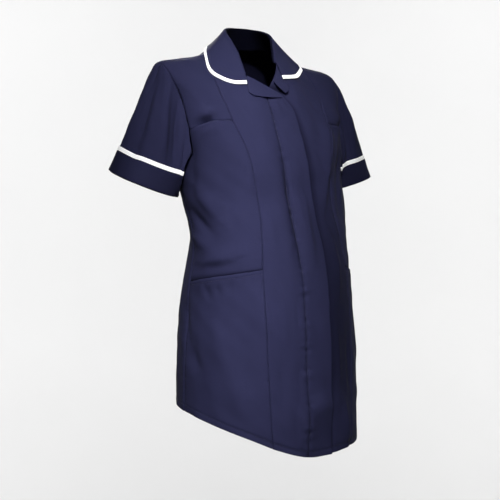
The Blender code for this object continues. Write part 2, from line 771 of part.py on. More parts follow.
def pocket_mouth(side):
    """Return the pocket mouth from the princess seam to the side seam."""
    return straight(princess_seam(side)[MOUTH_ROW], side_seam(side)[MOUTH_ROW], SIDE_COLUMNS)


def build_side_front(side):
    """Build the side front, from the bust seam to just behind the pocket mouth."""
    princess = princess_seam(side)[MOUTH_ROW:BUST_ROW + 1]
    outer = chain(side_seam(side)[MOUTH_ROW:], front_armhole(side)[:ROWS_TO_BUST + 1])
    mouth = pocket_mouth(side)
    split = ROWS_TO_UNDERARM
    underarm = straight(princess[split], outer[split], SIDE_COLUMNS)
    hidden = mouth - np.array([0.0, HIDDEN_MARGIN])
    places = chain(
        np.stack([hidden, mouth]),
        patch(princess[:split + 1], outer[:split + 1], mouth, underarm),
        patch(princess[split:], outer[split:], underarm, bust_seam(side)),
    )
    rise = np.zeros(places.shape[:2])
    rise[0:2] = -TUCK_DEPTH
    rise[2] = -TUCK_DEPTH * TUCK_EASE
    add_panel(side_name("front_side", side), places, rise, side)


def build_pocket(side):
    """Build the lower side front, whose upper edge is the gaping pocket mouth."""
    princess = princess_seam(side)[:MOUTH_ROW + 1]
    outer = side_seam(side)[:MOUTH_ROW + 1]
    bottom = hem_line(princess[0, 0], outer[0, 0], SIDE_COLUMNS)
    places = patch(princess, outer, bottom, pocket_mouth(side))
    below = places[-1:, :, 1] - places[..., 1]
    across = np.sin(math.pi * np.linspace(0.0, 1.0, SIDE_COLUMNS + 1))[None, :]
    rise = POCKET_GAPE * across * np.exp(-((below / POCKET_FADE) ** 2))
    add_panel(side_name("pocket", side), places, rise, side)


def build_back():
    """Build the back in one panel, side seam to side seam and hem to shoulders."""
    left = chain(side_seam(LEFT), back_armhole(LEFT))
    right = chain(side_seam(RIGHT), back_armhole(RIGHT))
    turn = np.array([2.0 * math.pi, 0.0])
    inner_left, outer_left = shoulder_seam(LEFT)
    inner_right, outer_right = shoulder_seam(RIGHT)
    neck = place_on_form(spline(BACK_NECK[::-1], NECK_COLUMNS))
    top = chain(outer_left[::-1], inner_left[::-1], neck, inner_right, outer_right)
    top[top[:, 0] < 0.0] += turn
    right = right + turn
    bottom = hem_line(left[0, 0], math.pi, len(top) // 2)
    bottom = chain(bottom, (bottom * np.array([-1.0, 1.0]) + turn)[::-1])
    bottom[:, 1] = [hem_height((a + math.pi) % (2.0 * math.pi) - math.pi) for a in bottom[:, 0]]
    middle = bottom.copy()
    sag = np.sin(math.pi * np.linspace(0.0, 1.0, len(middle)))
    middle[:, 1] = left[UNDERARM_ROW, 1] - BACK_ROW_SAG * sag
    lower = patch(left[:UNDERARM_ROW + 1], right[:UNDERARM_ROW + 1], bottom, middle)
    upper = patch(left[UNDERARM_ROW:], right[UNDERARM_ROW:], middle, top)
    add_panel("back", chain(lower, upper))


def neckline(count):
    """Return the neckline from the right collar end round the back to the left one."""
    right = spline(place_on_form(RIGHT_NECK), NECKLINE_SAMPLES)
    back = place_on_form(spline(BACK_NECK, 2 * NECKLINE_SAMPLES))
    back[back[:, 0] > 0.0, 0] -= 2.0 * math.pi
    left = spline(place_on_form(LEFT_NECK), NECKLINE_SAMPLES)[::-1]
    left = left - np.array([2.0 * math.pi, 0.0])
    return spline(chain(right, back, left), count)


def collar_line(first, shares):
    """Return three neighbouring columns of the collar table at the given shares."""
    index = COLLAR_COLUMNS.index(first)
    places = column(COLLAR, COLLAR_COLUMNS, "share")
    return np.stack(
        [smooth_lookup(shares, places, np.array([row[index + k] for row in COLLAR])) for k in range(3)],
        axis=-1,
    )


def collar_fall(shares, across):
    """Return points of the collar's fall, across from 0 at the roll to 1 at the outer edge."""
    roll = collar_line("roll_out", shares)
    edge = form_points(place_on_form(collar_line("edge_out", shares)), COLLAR_RISE)
    straight_point = roll + (edge - roll) * across[:, None]
    outward = edge + np.array([0.0, ARCH_FORWARD, 0.0])
    outward[:, 2] = ARCH_RISE
    outward /= np.linalg.norm(outward, axis=-1)[:, None]
    width = np.linalg.norm(edge - roll, axis=-1)
    arch = COLLAR_ARCH * np.sin(math.pi * across) * width / ARCH_WIDTH
    point = straight_point + outward * arch[:, None]
    place = place_on_form(point)
    floor = form_points(place, np.full(len(shares), COLLAR_RISE))
    centre = np.array([0.0, section("centre", CHEST_LEVEL), CHEST_LEVEL])
    low = np.linalg.norm(floor - centre, axis=-1)
    high = np.linalg.norm(point - centre, axis=-1)
    overlap = np.clip(COLLAR_BLEND - np.abs(low - high), 0.0, None) / COLLAR_BLEND
    reach = np.maximum(low, high) + overlap ** 2 * COLLAR_BLEND / 4.0
    return centre + (point - centre) * (reach / high)[:, None]


def build_collar():
    """Build the collar: a stand inside the neckline, folded over into the rounded fall."""
    shares = np.linspace(0.0, 1.0, COLLAR_STATIONS + 1)
    base_places = neckline(COLLAR_STATIONS) + np.array([0.0, NECK_CLEARANCE])
    base = form_points(base_places, np.zeros(len(shares)))
    roll = collar_line("roll_out", shares)
    edge = collar_line("edge_out", shares)
    width = np.linalg.norm(edge - roll, axis=-1)
    outward = edge - roll
    outward[:, 2] = 0.0
    outward /= np.linalg.norm(outward, axis=-1)[:, None]
    stand_top = roll - outward * COLLAR_FOLD
    rows = []
    for k in range(STAND_ROWS):
        share = k / STAND_ROWS
        rows.append(base + (stand_top - base) * share)
    fall_start = np.minimum(FOLD_WIDTH_LIMIT, FOLD_REACH * COLLAR_FOLD / width)
    first_fall = collar_fall(shares, fall_start)
    for k in range(FOLD_ROWS + 1):
        share = k / FOLD_ROWS
        middle = stand_top * (1 - share) + first_fall * share
        lift = COLLAR_FOLD * FOLD_HEIGHT * math.sin(math.pi * share)
        rows.append(middle + np.array([0.0, 0.0, lift]))
    fall_end = 1.0 - (TRIM_WIDTH + SEAM_GAP) / width
    for k in range(1, FALL_ROWS + 1):
        share = k / FALL_ROWS
        rows.append(collar_fall(shares, fall_start + (fall_end - fall_start) * share))
    add_cloth("collar", np.array(rows), wall=COLLAR_WALL)
    trim = np.array([
        collar_fall(shares, 1.0 - TRIM_WIDTH / width),
        collar_fall(shares, 1.0 - 0.5 * TRIM_WIDTH / width),
        collar_fall(shares, np.ones(len(shares))),
    ])
    add_cloth("collar_trim", trim, WHITE, COLLAR_WALL)


def build_lapel(name, table, turned):
    """Build one small lapel, turned back over the front from its roll line."""
    rows = np.linspace(0.0, 1.0, LAPEL_ROWS + 1)
    places = np.linspace(0.0, 1.0, len(table))
    values = [smooth_lookup(rows, places, column(table, LAPEL_COLUMNS, c)) for c in LAPEL_COLUMNS]
    roll = place_on_front(values[0], values[1])
    middle = place_on_front(values[2], values[3])
    edge = place_on_front(values[4], values[5])
    grid = np.array([roll, (roll + middle) / 2.0, middle, edge])
    points = form_points(grid, np.full(grid.shape[:2], LAPEL_RISE))
    add_cloth(name, points, wall=WALL, turned=turned)


def armhole_ring(side):
    """Return the armhole's points from the top, round the front to the underarm and back up."""
    front = front_armhole(side)[::-1]
    back = back_armhole(side)
    places = chain(front, back)[:-1]
    low = (1.0 - np.cos(np.radians(ring_degrees()))) / 2.0
    return form_points(places, low * 2.0 * (WALL + LAYER_GAP))


def ring_degrees():
    """Return the place of each ring point, in degrees from the top, front first."""
    half = ROWS_TO_BUST + ROWS_FROM_BUST
    return np.arange(2 * half) * 180.0 / half


def sleeve_fold_depth(degrees, share):
    """Return how far the sleeve's folds move the cloth out."""
    moved = np.zeros_like(share)
    for from_angle, from_share, to_angle, to_share, width, depth in SLEEVE_FOLDS:
        along = np.clip((share - from_share) / (to_share - from_share), 0.0, 1.0)
        middle = from_angle + (to_angle - from_angle) * along
        beyond = share - (from_share + (to_share - from_share) * along)
        swell = FOLD_END_SHARE + (1.0 - FOLD_END_SHARE) * np.sin(math.pi * along)
        inside = np.exp(-((beyond / SLEEVE_FOLD_FADE) ** 2))
        moved += depth * swell * inside * np.exp(-(((degrees - middle) / width) ** 2))
    return moved


def sleeve_lines(side):
    """Return a sleeve's lines, one for each ring point, from the armhole to the end.

    They are given as for the wearer's left side.
    """
    ring = armhole_ring(LEFT)
    degrees = ring_degrees()
    radians = np.radians(degrees)
    end = (
        np.array(CUFF_CENTRE)
        + np.cos(radians)[:, None] * np.array(CUFF_OUTER)
        + np.sin(radians)[:, None] * np.array(CUFF_FRONT_LEFT if side > 0 else CUFF_FRONT_RIGHT)
    )
    starts = [column(SLEEVE_START, SLEEVE_START_COLUMNS, name) for name in SLEEVE_START_COLUMNS]
    start_run = np.stack([smooth_lookup(degrees, starts[0], run) for run in starts[1:]], axis=-1)
    span = np.linalg.norm(end - ring, axis=-1)[:, None]
    end_run = np.array(SLEEVE_END) * span / span.max()
    t = np.linspace(0.0, 1.0, SLEEVE_SAMPLES)[:, None, None]
    return (
        (1 + 2 * t) * (1 - t) ** 2 * ring + t * (1 - t) ** 2 * start_run
        + t * t * (3 - 2 * t) * end + t * t * (t - 1) * end_run
    )


def sleeve_surface(side, upper, lower, rise):
    """Return rows of sleeve points, lifted by rise.

    upper holds shares of the way from the armhole to the trim's top, and lower holds distances
    up from the sleeve's end.
    """
    lines = sleeve_lines(side)
    degrees = ring_degrees()
    steps = np.linalg.norm(np.diff(lines, axis=0), axis=-1)
    lengths = np.concatenate([np.zeros((1, lines.shape[1])), np.cumsum(steps, axis=0)])
    rows = []
    places = [share * (lengths[-1] - TRIM_TOP) for share in upper]
    places += [lengths[-1] - distance for distance in lower]
    for place in places:
        point = np.empty_like(lines[0])
        along = np.empty_like(point)
        share = place / lengths[-1]
        for k, at in enumerate(place):
            for axis in range(3):
                line = lines[:, k, axis]
                point[k, axis] = np.interp(at, lengths[:, k], line)
                ahead = np.interp(at + SLEEVE_STEP, lengths[:, k], line)
                behind = np.interp(at - SLEEVE_STEP, lengths[:, k], line)
                along[k, axis] = ahead - behind
        around = np.roll(point, -1, axis=0) - np.roll(point, 1, axis=0)
        normal = np.cross(along, around)
        normal /= np.linalg.norm(normal, axis=-1)[:, None]
        out = rise + sleeve_fold_depth(degrees, share)
        rows.append(point + normal * out[:, None])
    return np.array(rows) * np.array([side, 1.0, 1.0])


def build_sleeve(side):
    """Build one sleeve with its turned-up cuff and the trim along the cuff's top."""
    turned = side < 0
    upper = np.linspace(SLEEVE_SEAM_SHARE, 1.0, SLEEVE_ROWS + 1)
    cuff_rows = np.linspace(CUFF_DEPTH, 0.0, CUFF_ROWS + 1)
    sleeve = sleeve_surface(side, upper, cuff_rows, 0.0)
    add_cloth(side_name("sleeve", side), sleeve, closed=True, turned=turned)
    cuff = sleeve_surface(side, (), cuff_rows, CUFF_RISE)
    add_cloth(side_name("cuff", side), cuff, closed=True, turned=turned)
    trim = sleeve_surface(side, (), (TRIM_TOP, TRIM_FOOT), CUFF_RISE)
    add_cloth(side_name("cuff_trim", side), trim, WHITE, closed=True, turned=turned)


for stale in list(bpy.data.objects):
    bpy.data.objects.remove(stale, do_unlink=True)
collection = bpy.data.collections.new(OBJECT_NAME)
bpy.context.scene.collection.children.link(collection)

build_back()
build_front_centre_right()
build_front_placket()
build_front_centre_left()
for body_side in (RIGHT, LEFT):
    build_yoke(body_side)
    build_side_front(body_side)
    build_pocket(body_side)
    build_sleeve(body_side)
build_lapel("lapel_right", RIGHT_LAPEL, turned=True)
build_lapel("lapel_left", LEFT_LAPEL, turned=False)
build_collar()
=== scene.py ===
"""Looks of the short-sleeved medical tunic: its cloth, sewing, studio light and camera.

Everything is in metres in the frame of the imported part: +Z up, the front faces -Y and the
wearer's left is +X. Tables give depths forward of the shoulder line, so forward is -y.
"""

import logging
import math
from dataclasses import dataclass, field
from enum import Enum

import bpy
import numpy as np
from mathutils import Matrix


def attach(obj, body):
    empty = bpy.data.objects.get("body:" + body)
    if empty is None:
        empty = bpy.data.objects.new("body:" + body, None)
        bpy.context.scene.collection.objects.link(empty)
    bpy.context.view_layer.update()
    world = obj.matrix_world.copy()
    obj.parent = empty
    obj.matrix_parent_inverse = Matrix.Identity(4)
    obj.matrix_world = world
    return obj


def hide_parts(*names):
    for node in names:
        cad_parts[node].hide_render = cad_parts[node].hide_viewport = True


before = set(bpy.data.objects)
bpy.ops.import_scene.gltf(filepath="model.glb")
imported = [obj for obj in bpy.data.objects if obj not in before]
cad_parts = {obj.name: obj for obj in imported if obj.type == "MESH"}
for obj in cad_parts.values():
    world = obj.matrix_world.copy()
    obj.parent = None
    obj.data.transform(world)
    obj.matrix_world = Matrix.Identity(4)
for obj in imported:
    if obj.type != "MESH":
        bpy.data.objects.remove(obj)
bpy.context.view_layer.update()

LOG = logging.getLogger("tunic")
BODY = "root"
FULL_TURN = 2.0 * math.pi
FULL_CIRCLE = 360.0

Array = np.ndarray
Table = tuple[tuple[float, ...], ...]


class Side(Enum):
    """The wearer's sides, with the sign that each has along X."""

    RIGHT = -1.0
    LEFT = 1.0

    @property
    def label(self) -> str:
        """The side's name as it ends a node's name."""
        return self.name.lower()


class Slot(Enum):
    """The record's material slots."""

    BODY = "body_cloth"
    TRIM = "trim_cloth"


def column(rows: Table, index: int) -> Array:
    """Return one column of a table."""
    return np.array([row[index] for row in rows], dtype=float)


def smooth_lookup(place: Array, places: Array, values: Array) -> Array:
    """Read a smooth curve through a table's values.

    Args:
        place: where to read it.
        places: the table's places, in any order.
        values: the value at each place.

    Returns:
        The curve's value at each place asked for.
    """
    order = np.argsort(places)
    xs = places[order]
    ys = values[order]
    steps = np.diff(xs)
    slopes = np.diff(ys) / steps
    tangents = np.empty_like(ys)
    tangents[0] = slopes[0]
    tangents[-1] = slopes[-1]
    tangents[1:-1] = (slopes[:-1] * steps[1:] + slopes[1:] * steps[:-1]) / (steps[:-1] + steps[1:])
    at = np.clip(place, xs[0], xs[-1])
    index = np.clip(np.searchsorted(xs, at) - 1, 0, len(steps) - 1)
    width = steps[index]
    t = (at - xs[index]) / width
    start = (1 + 2 * t) * (1 - t) ** 2 * ys[index] + t * (1 - t) ** 2 * width * tangents[index]
    end = t * t * (3 - 2 * t) * ys[index + 1] + t * t * (t - 1) * width * tangents[index + 1]
    return start + end


def read_table(table: Table, at: Array | float, index: int = 1, by: int = 0) -> Array:
    """Read a smooth curve through one column of a table, at places in another column.

    Args:
        table: the rows of numbers.
        at: where to read it.
        index: the column of values.
        by: the column of places.

    Returns:
        The curve's value at each place asked for.
    """
    return smooth_lookup(at, column(table, by), column(table, index))


def bell(distance: Array, width: Array | float) -> Array:
    """Return a soft bump that is 1 at no distance and fades out over a width."""
    return np.exp(-((distance / width) ** 2))


def unit(vectors: Array) -> Array:
    """Return vectors brought to a length of 1."""
    return vectors / np.linalg.norm(vectors, axis=-1)[..., None]


def wrap(angle: Array | float, turn: float = FULL_CIRCLE) -> Array | float:
    """Return an angle brought to within half a turn of nought."""
    return (angle + turn / 2.0) % turn - turn / 2.0


def soft_maximum(first: Array, second: Array, blend: float) -> Array:
    """Return the larger of two values, rounded off where they lie within blend of each other."""
    overlap = np.clip(blend - np.abs(first - second), 0.0, None) / blend
    return np.maximum(first, second) + overlap ** 2 * blend / 4.0


def along_curve(at: Array | float, places: Array, curve: Array) -> Array:
    """Return a curve's points at places along it, straight between its own points."""
    return np.stack([np.interp(at, places, curve[:, k]) for k in range(curve.shape[1])], axis=-1)


def add_object(name: str, data: bpy.types.ID) -> bpy.types.Object:
    """Return a new object with the given data, linked into the scene."""
    thing = bpy.data.objects.new(name, data)
    bpy.context.scene.collection.objects.link(thing)
    return thing


def arc_lengths(points: Array, axis: int) -> Array:
    """Return the distance run along one axis of a grid of points, from its first line."""
    steps = np.linalg.norm(np.diff(points, axis=axis), axis=-1)
    zero = np.zeros_like(np.take(steps, [0], axis=axis))
    return np.concatenate([zero, np.cumsum(steps, axis=axis)], axis=axis)


def spline(points: Table | Array, count: int) -> Array:
    """Return count + 1 points spaced evenly along a smooth curve through the given points.

    Args:
        points: the points that the curve passes through.
        count: how many steps the curve is cut into.

    Returns:
        The points of the curve.
    """
    points = np.asarray(points, dtype=float)
    chords = arc_lengths(points, 0)
    fine = np.linspace(0.0, chords[-1], 40 * len(points))
    curve = np.stack([smooth_lookup(fine, chords, points[:, k]) for k in range(points.shape[1])], -1)
    lengths = arc_lengths(curve, 0)
    wanted = np.linspace(0.0, lengths[-1], count + 1)
    return along_curve(wanted, lengths, curve)


def chain(*curves: Array) -> Array:
    """Join curves that meet end to end into one."""
    return np.concatenate([curves[0]] + [curve[1:] for curve in curves[1:]])


def straight(start: Array, end: Array, count: int) -> Array:
    """Return count + 1 evenly spaced places from start to end."""
    share = np.linspace(0.0, 1.0, count + 1)[:, None]
    return (1 - share) * np.asarray(start) + share * np.asarray(end)


def resample(curve: Array, shares: Array) -> Array:
    """Return a curve's points at shares of the way along its own rows."""
    return along_curve(shares, np.linspace(0.0, 1.0, len(curve)), curve)


def patch(first: Array, last: Array, bottom: Array, top: Array, s: Array, t: Array) -> Array:
    """Fill four boundary curves with a grid of places.

    Args:
        first: the side where the columns start, from the bottom up.
        last: the side where the columns end, from the bottom up.
        bottom: the lower boundary.
        top: the upper boundary.
        s: the shares at which columns lie.
        t: the shares at which rows lie.

    Returns:
        Rows of places from the bottom to the top.
    """
    first, last = resample(first, t), resample(last, t)
    bottom, top = resample(bottom, s), resample(top, s)
    across = s[None, :, None]
    up = t[:, None, None]
    sides = (1 - across) * first[:, None] + across * last[:, None]
    ends = (1 - up) * bottom[None] + up * top[None]
    corners = (
        (1 - across) * (1 - up) * bottom[0] + across * (1 - up) * bottom[-1]
        + (1 - across) * up * top[0] + across * up * top[-1]
    )
    return sides + ends - corners


def spread(count: int, length: float, near_start: tuple = (), near_end: tuple = ()) -> Array:
    """Return shares of a length for rows or columns, with extra ones near its ends.

    Args:
        count: how many even steps it is cut into.
        length: the length in metres.
        near_start: distances from the start that get a line of their own.
        near_end: distances from the end that get a line of their own.

    Returns:
        The shares in order, from 0 to 1.
    """
    extra = [d / length for d in near_start] + [1.0 - d / length for d in near_end]
    even = np.linspace(0.0, 1.0, count + 1)
    clear = 0.35 / count
    kept = [v for v in even[1:-1] if all(abs(v - e) > clear for e in extra)]
    return np.array(sorted([0.0, 1.0] + kept + extra))


@dataclass(frozen=True)
class RippleShape:
    """How a seam's ripple varies: its waves' lengths are in pitches, their phases in radians."""

    stray: float = 1.3
    stray_length: float = 6.7
    slow_length: float = 1.63
    slow_phase: float = 2.1
    swell_length: float = 5.3
    swell_phase: float = 0.7
    quick_share: float = 0.62
    slow_share: float = 0.38
    least_swell: float = 0.3
    most_added: float = 0.7


RIPPLE = RippleShape()


def uneven_wave(along: Array, pitch: float, phase: float) -> Array:
    """Return an uneven ripple along a seam, between -1 and 1.

    Args:
        along: the place along the seam in metres.
        pitch: the usual distance between two crests.
        phase: shifts the ripple, so that no two seams match.

    Returns:
        The ripple at each place.
    """
    turn = FULL_TURN * along
    stray = np.sin(turn / (RIPPLE.stray_length * pitch) + phase)
    quick = np.sin(turn / pitch + RIPPLE.stray * stray)
    slow = np.sin(turn / (RIPPLE.slow_length * pitch) + RIPPLE.slow_phase + phase)
    swell = np.sin(turn / (RIPPLE.swell_length * pitch) + RIPPLE.swell_phase * phase) ** 2
    wave = RIPPLE.quick_share * quick + RIPPLE.slow_share * slow
    return wave * (RIPPLE.least_swell + RIPPLE.most_added * swell)


@dataclass(frozen=True)
class BodyForm:
    """The surface that every body panel lies on, as angle round the body and climb up it."""

    # height, half width, front, back and centre of each section
    sections: Table = (
        (-0.780, 0.1780, 0.199, 0.098, 0.050),
        (-0.640, 0.1770, 0.198, 0.096, 0.050),
        (-0.540, 0.1755, 0.195, 0.094, 0.050),
        (-0.475, 0.1700, 0.191, 0.091, 0.049),
        (-0.430, 0.1665, 0.186, 0.082, 0.050),
        (-0.385, 0.1610, 0.179, 0.070, 0.053),
        (-0.340, 0.1620, 0.165, 0.052, 0.057),
        (-0.300, 0.1670, 0.151, 0.054, 0.050),
        (-0.262, 0.1730, 0.140, 0.064, 0.040),
        (-0.215, 0.1780, 0.135, 0.080, 0.028),
        (-0.170, 0.1830, 0.132, 0.090, 0.020),
        (-0.130, 0.1870, 0.124, 0.092, 0.012),
        (-0.090, 0.1930, 0.110, 0.088, 0.004),
        (-0.050, 0.2080, 0.096, 0.080, -0.004),
        (0.000, 0.2200, 0.085, 0.074, -0.010),
        (0.060, 0.2200, 0.080, 0.068, -0.010),
    )
    squareness: float = 2.06
    # out and height along the shoulder ridge
    ridge: Table = (
        (0.000, 0.024),
        (0.030, 0.0195),
        (0.060, 0.0135),
        (0.080, 0.001),
        (0.110, -0.0115),
        (0.150, -0.0180),
        (0.200, -0.0260),
        (0.250, -0.0420),
    )
    ridge_forward: float = -0.020
    ridge_front_radius: float = 0.050
    ridge_back_radius: float = 0.085
    ridge_blend: float = 0.018
    tube_scale: float = 0.13
    chest_level: float = -0.170
    climb_radius: float = 0.170
    reach: float = 0.60
    halvings: int = 27
    normal_step: float = 0.0015
    fold_end_share: float = 0.35
    # folds in the near front: two ends as out, forward and height, then half width, depth and
    # lean, above zero for the side that lies to the right of the run from above
    near_folds: Table = (
        (-0.166, 0.065, -0.130, -0.144, 0.078, -0.118, 0.0085, 0.0050, -0.35),
        (-0.169, 0.062, -0.142, -0.146, 0.082, -0.132, 0.0060, -0.0080, -0.35),
        (-0.168, 0.066, -0.154, -0.136, 0.090, -0.144, 0.0090, 0.0026, 0.00),
        (-0.174, 0.056, -0.179, -0.171, 0.055, -0.267, 0.0080, -0.0044, 0.30),
        (-0.168, 0.064, -0.265, -0.150, 0.097, -0.308, 0.0150, 0.0080, -0.45),
        (-0.167, 0.044, -0.297, -0.156, 0.089, -0.337, 0.0105, -0.0052, 0.00),
        (-0.160, 0.039, -0.338, -0.156, 0.086, -0.363, 0.0110, 0.0040, 0.00),
        (-0.160, 0.065, -0.385, -0.135, 0.122, -0.375, 0.0140, 0.0070, -0.40),
        (-0.041, 0.129, -0.209, -0.039, 0.164, -0.345, 0.0170, 0.0062, 0.40),
        (-0.020, 0.128, -0.202, -0.022, 0.166, -0.345, 0.0070, -0.0052, 0.50),
        (-0.022, 0.166, -0.345, -0.021, 0.179, -0.392, 0.0070, -0.0030, 0.40),
        (-0.007, 0.137, -0.242, -0.010, 0.170, -0.356, 0.0090, 0.0038, -0.50),
        (0.008, 0.143, -0.274, -0.003, 0.180, -0.389, 0.0160, 0.0056, 0.25),
        (-0.077, 0.140, -0.299, -0.079, 0.164, -0.387, 0.0180, 0.0044, 0.25),
        (-0.163, 0.078, -0.425, -0.162, 0.089, -0.451, 0.0046, -0.0032, 0.00),
        (-0.155, 0.100, -0.423, -0.154, 0.106, -0.444, 0.0042, -0.0026, 0.00),
        (-0.145, 0.117, -0.419, -0.145, 0.120, -0.435, 0.0040, -0.0020, 0.00),
        (-0.167, 0.028, -0.454, -0.175, 0.043, -0.534, 0.0080, -0.0034, 0.30),
        (-0.175, 0.049, -0.533, -0.175, 0.075, -0.579, 0.0140, -0.0050, 0.20),
        (-0.161, 0.098, -0.483, -0.154, 0.124, -0.580, 0.0180, 0.0040, 0.30),
        (-0.135, 0.139, -0.488, -0.127, 0.155, -0.624, 0.0180, -0.0038, -0.20),
        (-0.103, 0.160, -0.443, -0.098, 0.172, -0.541, 0.0150, 0.0034, 0.30),
        (-0.069, 0.177, -0.451, -0.066, 0.185, -0.542, 0.0130, 0.0034, 0.35),
        (-0.077, 0.182, -0.541, -0.074, 0.186, -0.661, 0.0140, -0.0030, 0.20),
        (-0.148, 0.133, -0.590, -0.126, 0.156, -0.659, 0.0180, 0.0030, 0.00),
        (-0.143, 0.099, -0.267, -0.128, 0.125, -0.344, 0.0150, -0.0034, 0.00),
        (-0.110, 0.109, -0.185, -0.092, 0.131, -0.284, 0.0160, 0.0034, 0.30),
        (-0.100, 0.073, -0.095, -0.075, 0.093, -0.124, 0.0110, -0.0022, 0.00),
        (-0.039, 0.195, -0.645, -0.036, 0.196, -0.704, 0.0180, 0.0080, -0.62),
        (-0.026, 0.197, -0.641, 0.023, 0.197, -0.642, 0.0200, 0.0072, 0.00),
        (-0.040, 0.185, -0.451, -0.042, 0.189, -0.504, 0.0070, -0.0022, 0.40),
        (-0.044, 0.192, -0.566, -0.041, 0.194, -0.601, 0.0075, -0.0024, 0.40),
    )
    # folds in the far front
    far_folds: Table = (
        (0.113, 0.086, -0.124, 0.088, 0.122, -0.215, 0.0160, 0.0090, 0.45),
        (0.088, 0.122, -0.215, 0.062, 0.140, -0.285, 0.0140, 0.0066, 0.42),
        (0.144, 0.090, -0.161, 0.111, 0.127, -0.300, 0.0120, -0.0050, 0.00),
        (0.063, 0.159, -0.347, 0.059, 0.181, -0.456, 0.0150, 0.0044, 0.40),
        (0.067, 0.188, -0.642, 0.079, 0.184, -0.716, 0.0135, 0.0084, 0.42),
        (0.047, 0.189, -0.509, 0.052, 0.192, -0.622, 0.0150, 0.0044, 0.35),
        (0.086, 0.176, -0.512, 0.087, 0.180, -0.626, 0.0100, -0.0036, 0.00),
        (0.079, 0.070, -0.080, 0.098, 0.081, -0.109, 0.0080, -0.0020, 0.00),
        (0.128, 0.120, -0.600, 0.150, 0.110, -0.690, 0.0140, -0.0050, 0.00),
        (0.169, 0.062, -0.250, 0.150, 0.095, -0.325, 0.0120, 0.0044, 0.35),
        (0.172, 0.050, -0.285, 0.158, 0.078, -0.345, 0.0100, -0.0036, 0.00),
        (0.168, 0.060, -0.142, 0.142, 0.082, -0.130, 0.0052, -0.0046, 0.00),
        (0.168, 0.058, -0.126, 0.144, 0.078, -0.116, 0.0080, 0.0026, 0.00),
        (0.164, 0.050, -0.385, 0.138, 0.118, -0.378, 0.0120, 0.0034, 0.00),
        (0.172, 0.080, -0.480, 0.166, 0.100, -0.580, 0.0160, 0.0024, 0.25),
        (0.130, 0.050, -0.060, 0.140, 0.065, -0.100, 0.0085, -0.0012, 0.00),
    )
    # folds in the back
    back_folds: Table = (
        (-0.130, -0.030, -0.235, -0.060, -0.060, -0.330, 0.0150, -0.0050, 0.30),
        (-0.150, -0.010, -0.330, -0.070, -0.055, -0.365, 0.0120, -0.0044, -0.20),
        (0.135, -0.028, -0.245, 0.070, -0.058, -0.335, 0.0150, -0.0046, -0.30),
        (0.148, -0.010, -0.340, 0.060, -0.055, -0.372, 0.0115, -0.0040, 0.20),
        (-0.105, -0.060, -0.480, -0.110, -0.070, -0.660, 0.0170, -0.0044, 0.30),
        (-0.035, -0.090, -0.500, -0.030, -0.095, -0.660, 0.0200, 0.0034, 0.00),
        (0.050, -0.085, -0.470, 0.056, -0.090, -0.660, 0.0180, -0.0042, -0.30),
        (0.125, -0.050, -0.500, 0.130, -0.055, -0.665, 0.0170, 0.0034, 0.00),
        (-0.110, -0.070, -0.080, -0.120, -0.060, -0.190, 0.0150, -0.0034, 0.20),
        (0.112, -0.070, -0.085, 0.122, -0.060, -0.200, 0.0150, -0.0034, -0.20),
        (-0.090, -0.060, -0.280, -0.030, -0.055, -0.345, 0.0085, 0.0018, 0.30),
        (0.085, -0.060, -0.290, 0.030, -0.055, -0.350, 0.0080, 0.0017, -0.20),
        (-0.120, -0.040, -0.385, -0.050, -0.065, -0.400, 0.0080, -0.0018, -0.30),
        (0.118, -0.040, -0.390, 0.045, -0.065, -0.410, 0.0085, -0.0018, 0.20),
        (-0.070, -0.080, -0.450, -0.075, -0.090, -0.640, 0.0110, 0.0016, 0.30),
        (0.010, -0.090, -0.470, 0.012, -0.095, -0.650, 0.0120, -0.0016, 0.00),
        (0.090, -0.075, -0.460, 0.092, -0.080, -0.655, 0.0110, 0.0017, -0.30),
        (-0.150, -0.020, -0.450, -0.155, -0.020, -0.640, 0.0120, -0.0016, 0.00),
        (0.150, -0.020, -0.470, 0.156, -0.020, -0.645, 0.0120, -0.0015, 0.20),
        (-0.060, -0.085, -0.090, -0.070, -0.080, -0.220, 0.0100, 0.0013, -0.20),
        (0.055, -0.085, -0.100, 0.062, -0.080, -0.230, 0.0100, 0.0014, 0.30),
        (-0.150, -0.040, -0.120, -0.120, -0.070, -0.160, 0.0075, -0.0018, -0.20),
        (0.150, -0.040, -0.115, 0.122, -0.070, -0.165, 0.0075, -0.0019, -0.30),
    )
    unevenness: float = 0.00016
    uneven_waves: int = 14
    uneven_lengths: tuple = (0.028, 0.095)
    uneven_seed: int = 11

    def section(self, index: int, height: Array) -> Array:
        """Return one size of the body's section at a height."""
        return read_table(self.sections, height, index)

    def outside(self, x: Array, forward: Array, height: Array) -> Array:
        """Return how far points lie outside the form; below zero is inside."""
        centre = self.section(4, height)
        front = self.section(2, height) - centre
        back = self.section(3, height) + centre
        half_depth = np.where(forward > centre, front, back)
        across = np.abs(x) / self.section(1, height)
        along = np.abs(forward - centre) / half_depth
        power = self.squareness
        tube = ((across ** power + along ** power) ** (1.0 / power) - 1.0) * self.tube_scale
        away = forward - self.ridge_forward
        radius = np.where(away > 0.0, self.ridge_front_radius, self.ridge_back_radius)
        roof = height - read_table(self.ridge, np.abs(x)) + away ** 2 / (2.0 * radius)
        return soft_maximum(tube, roof, self.ridge_blend)

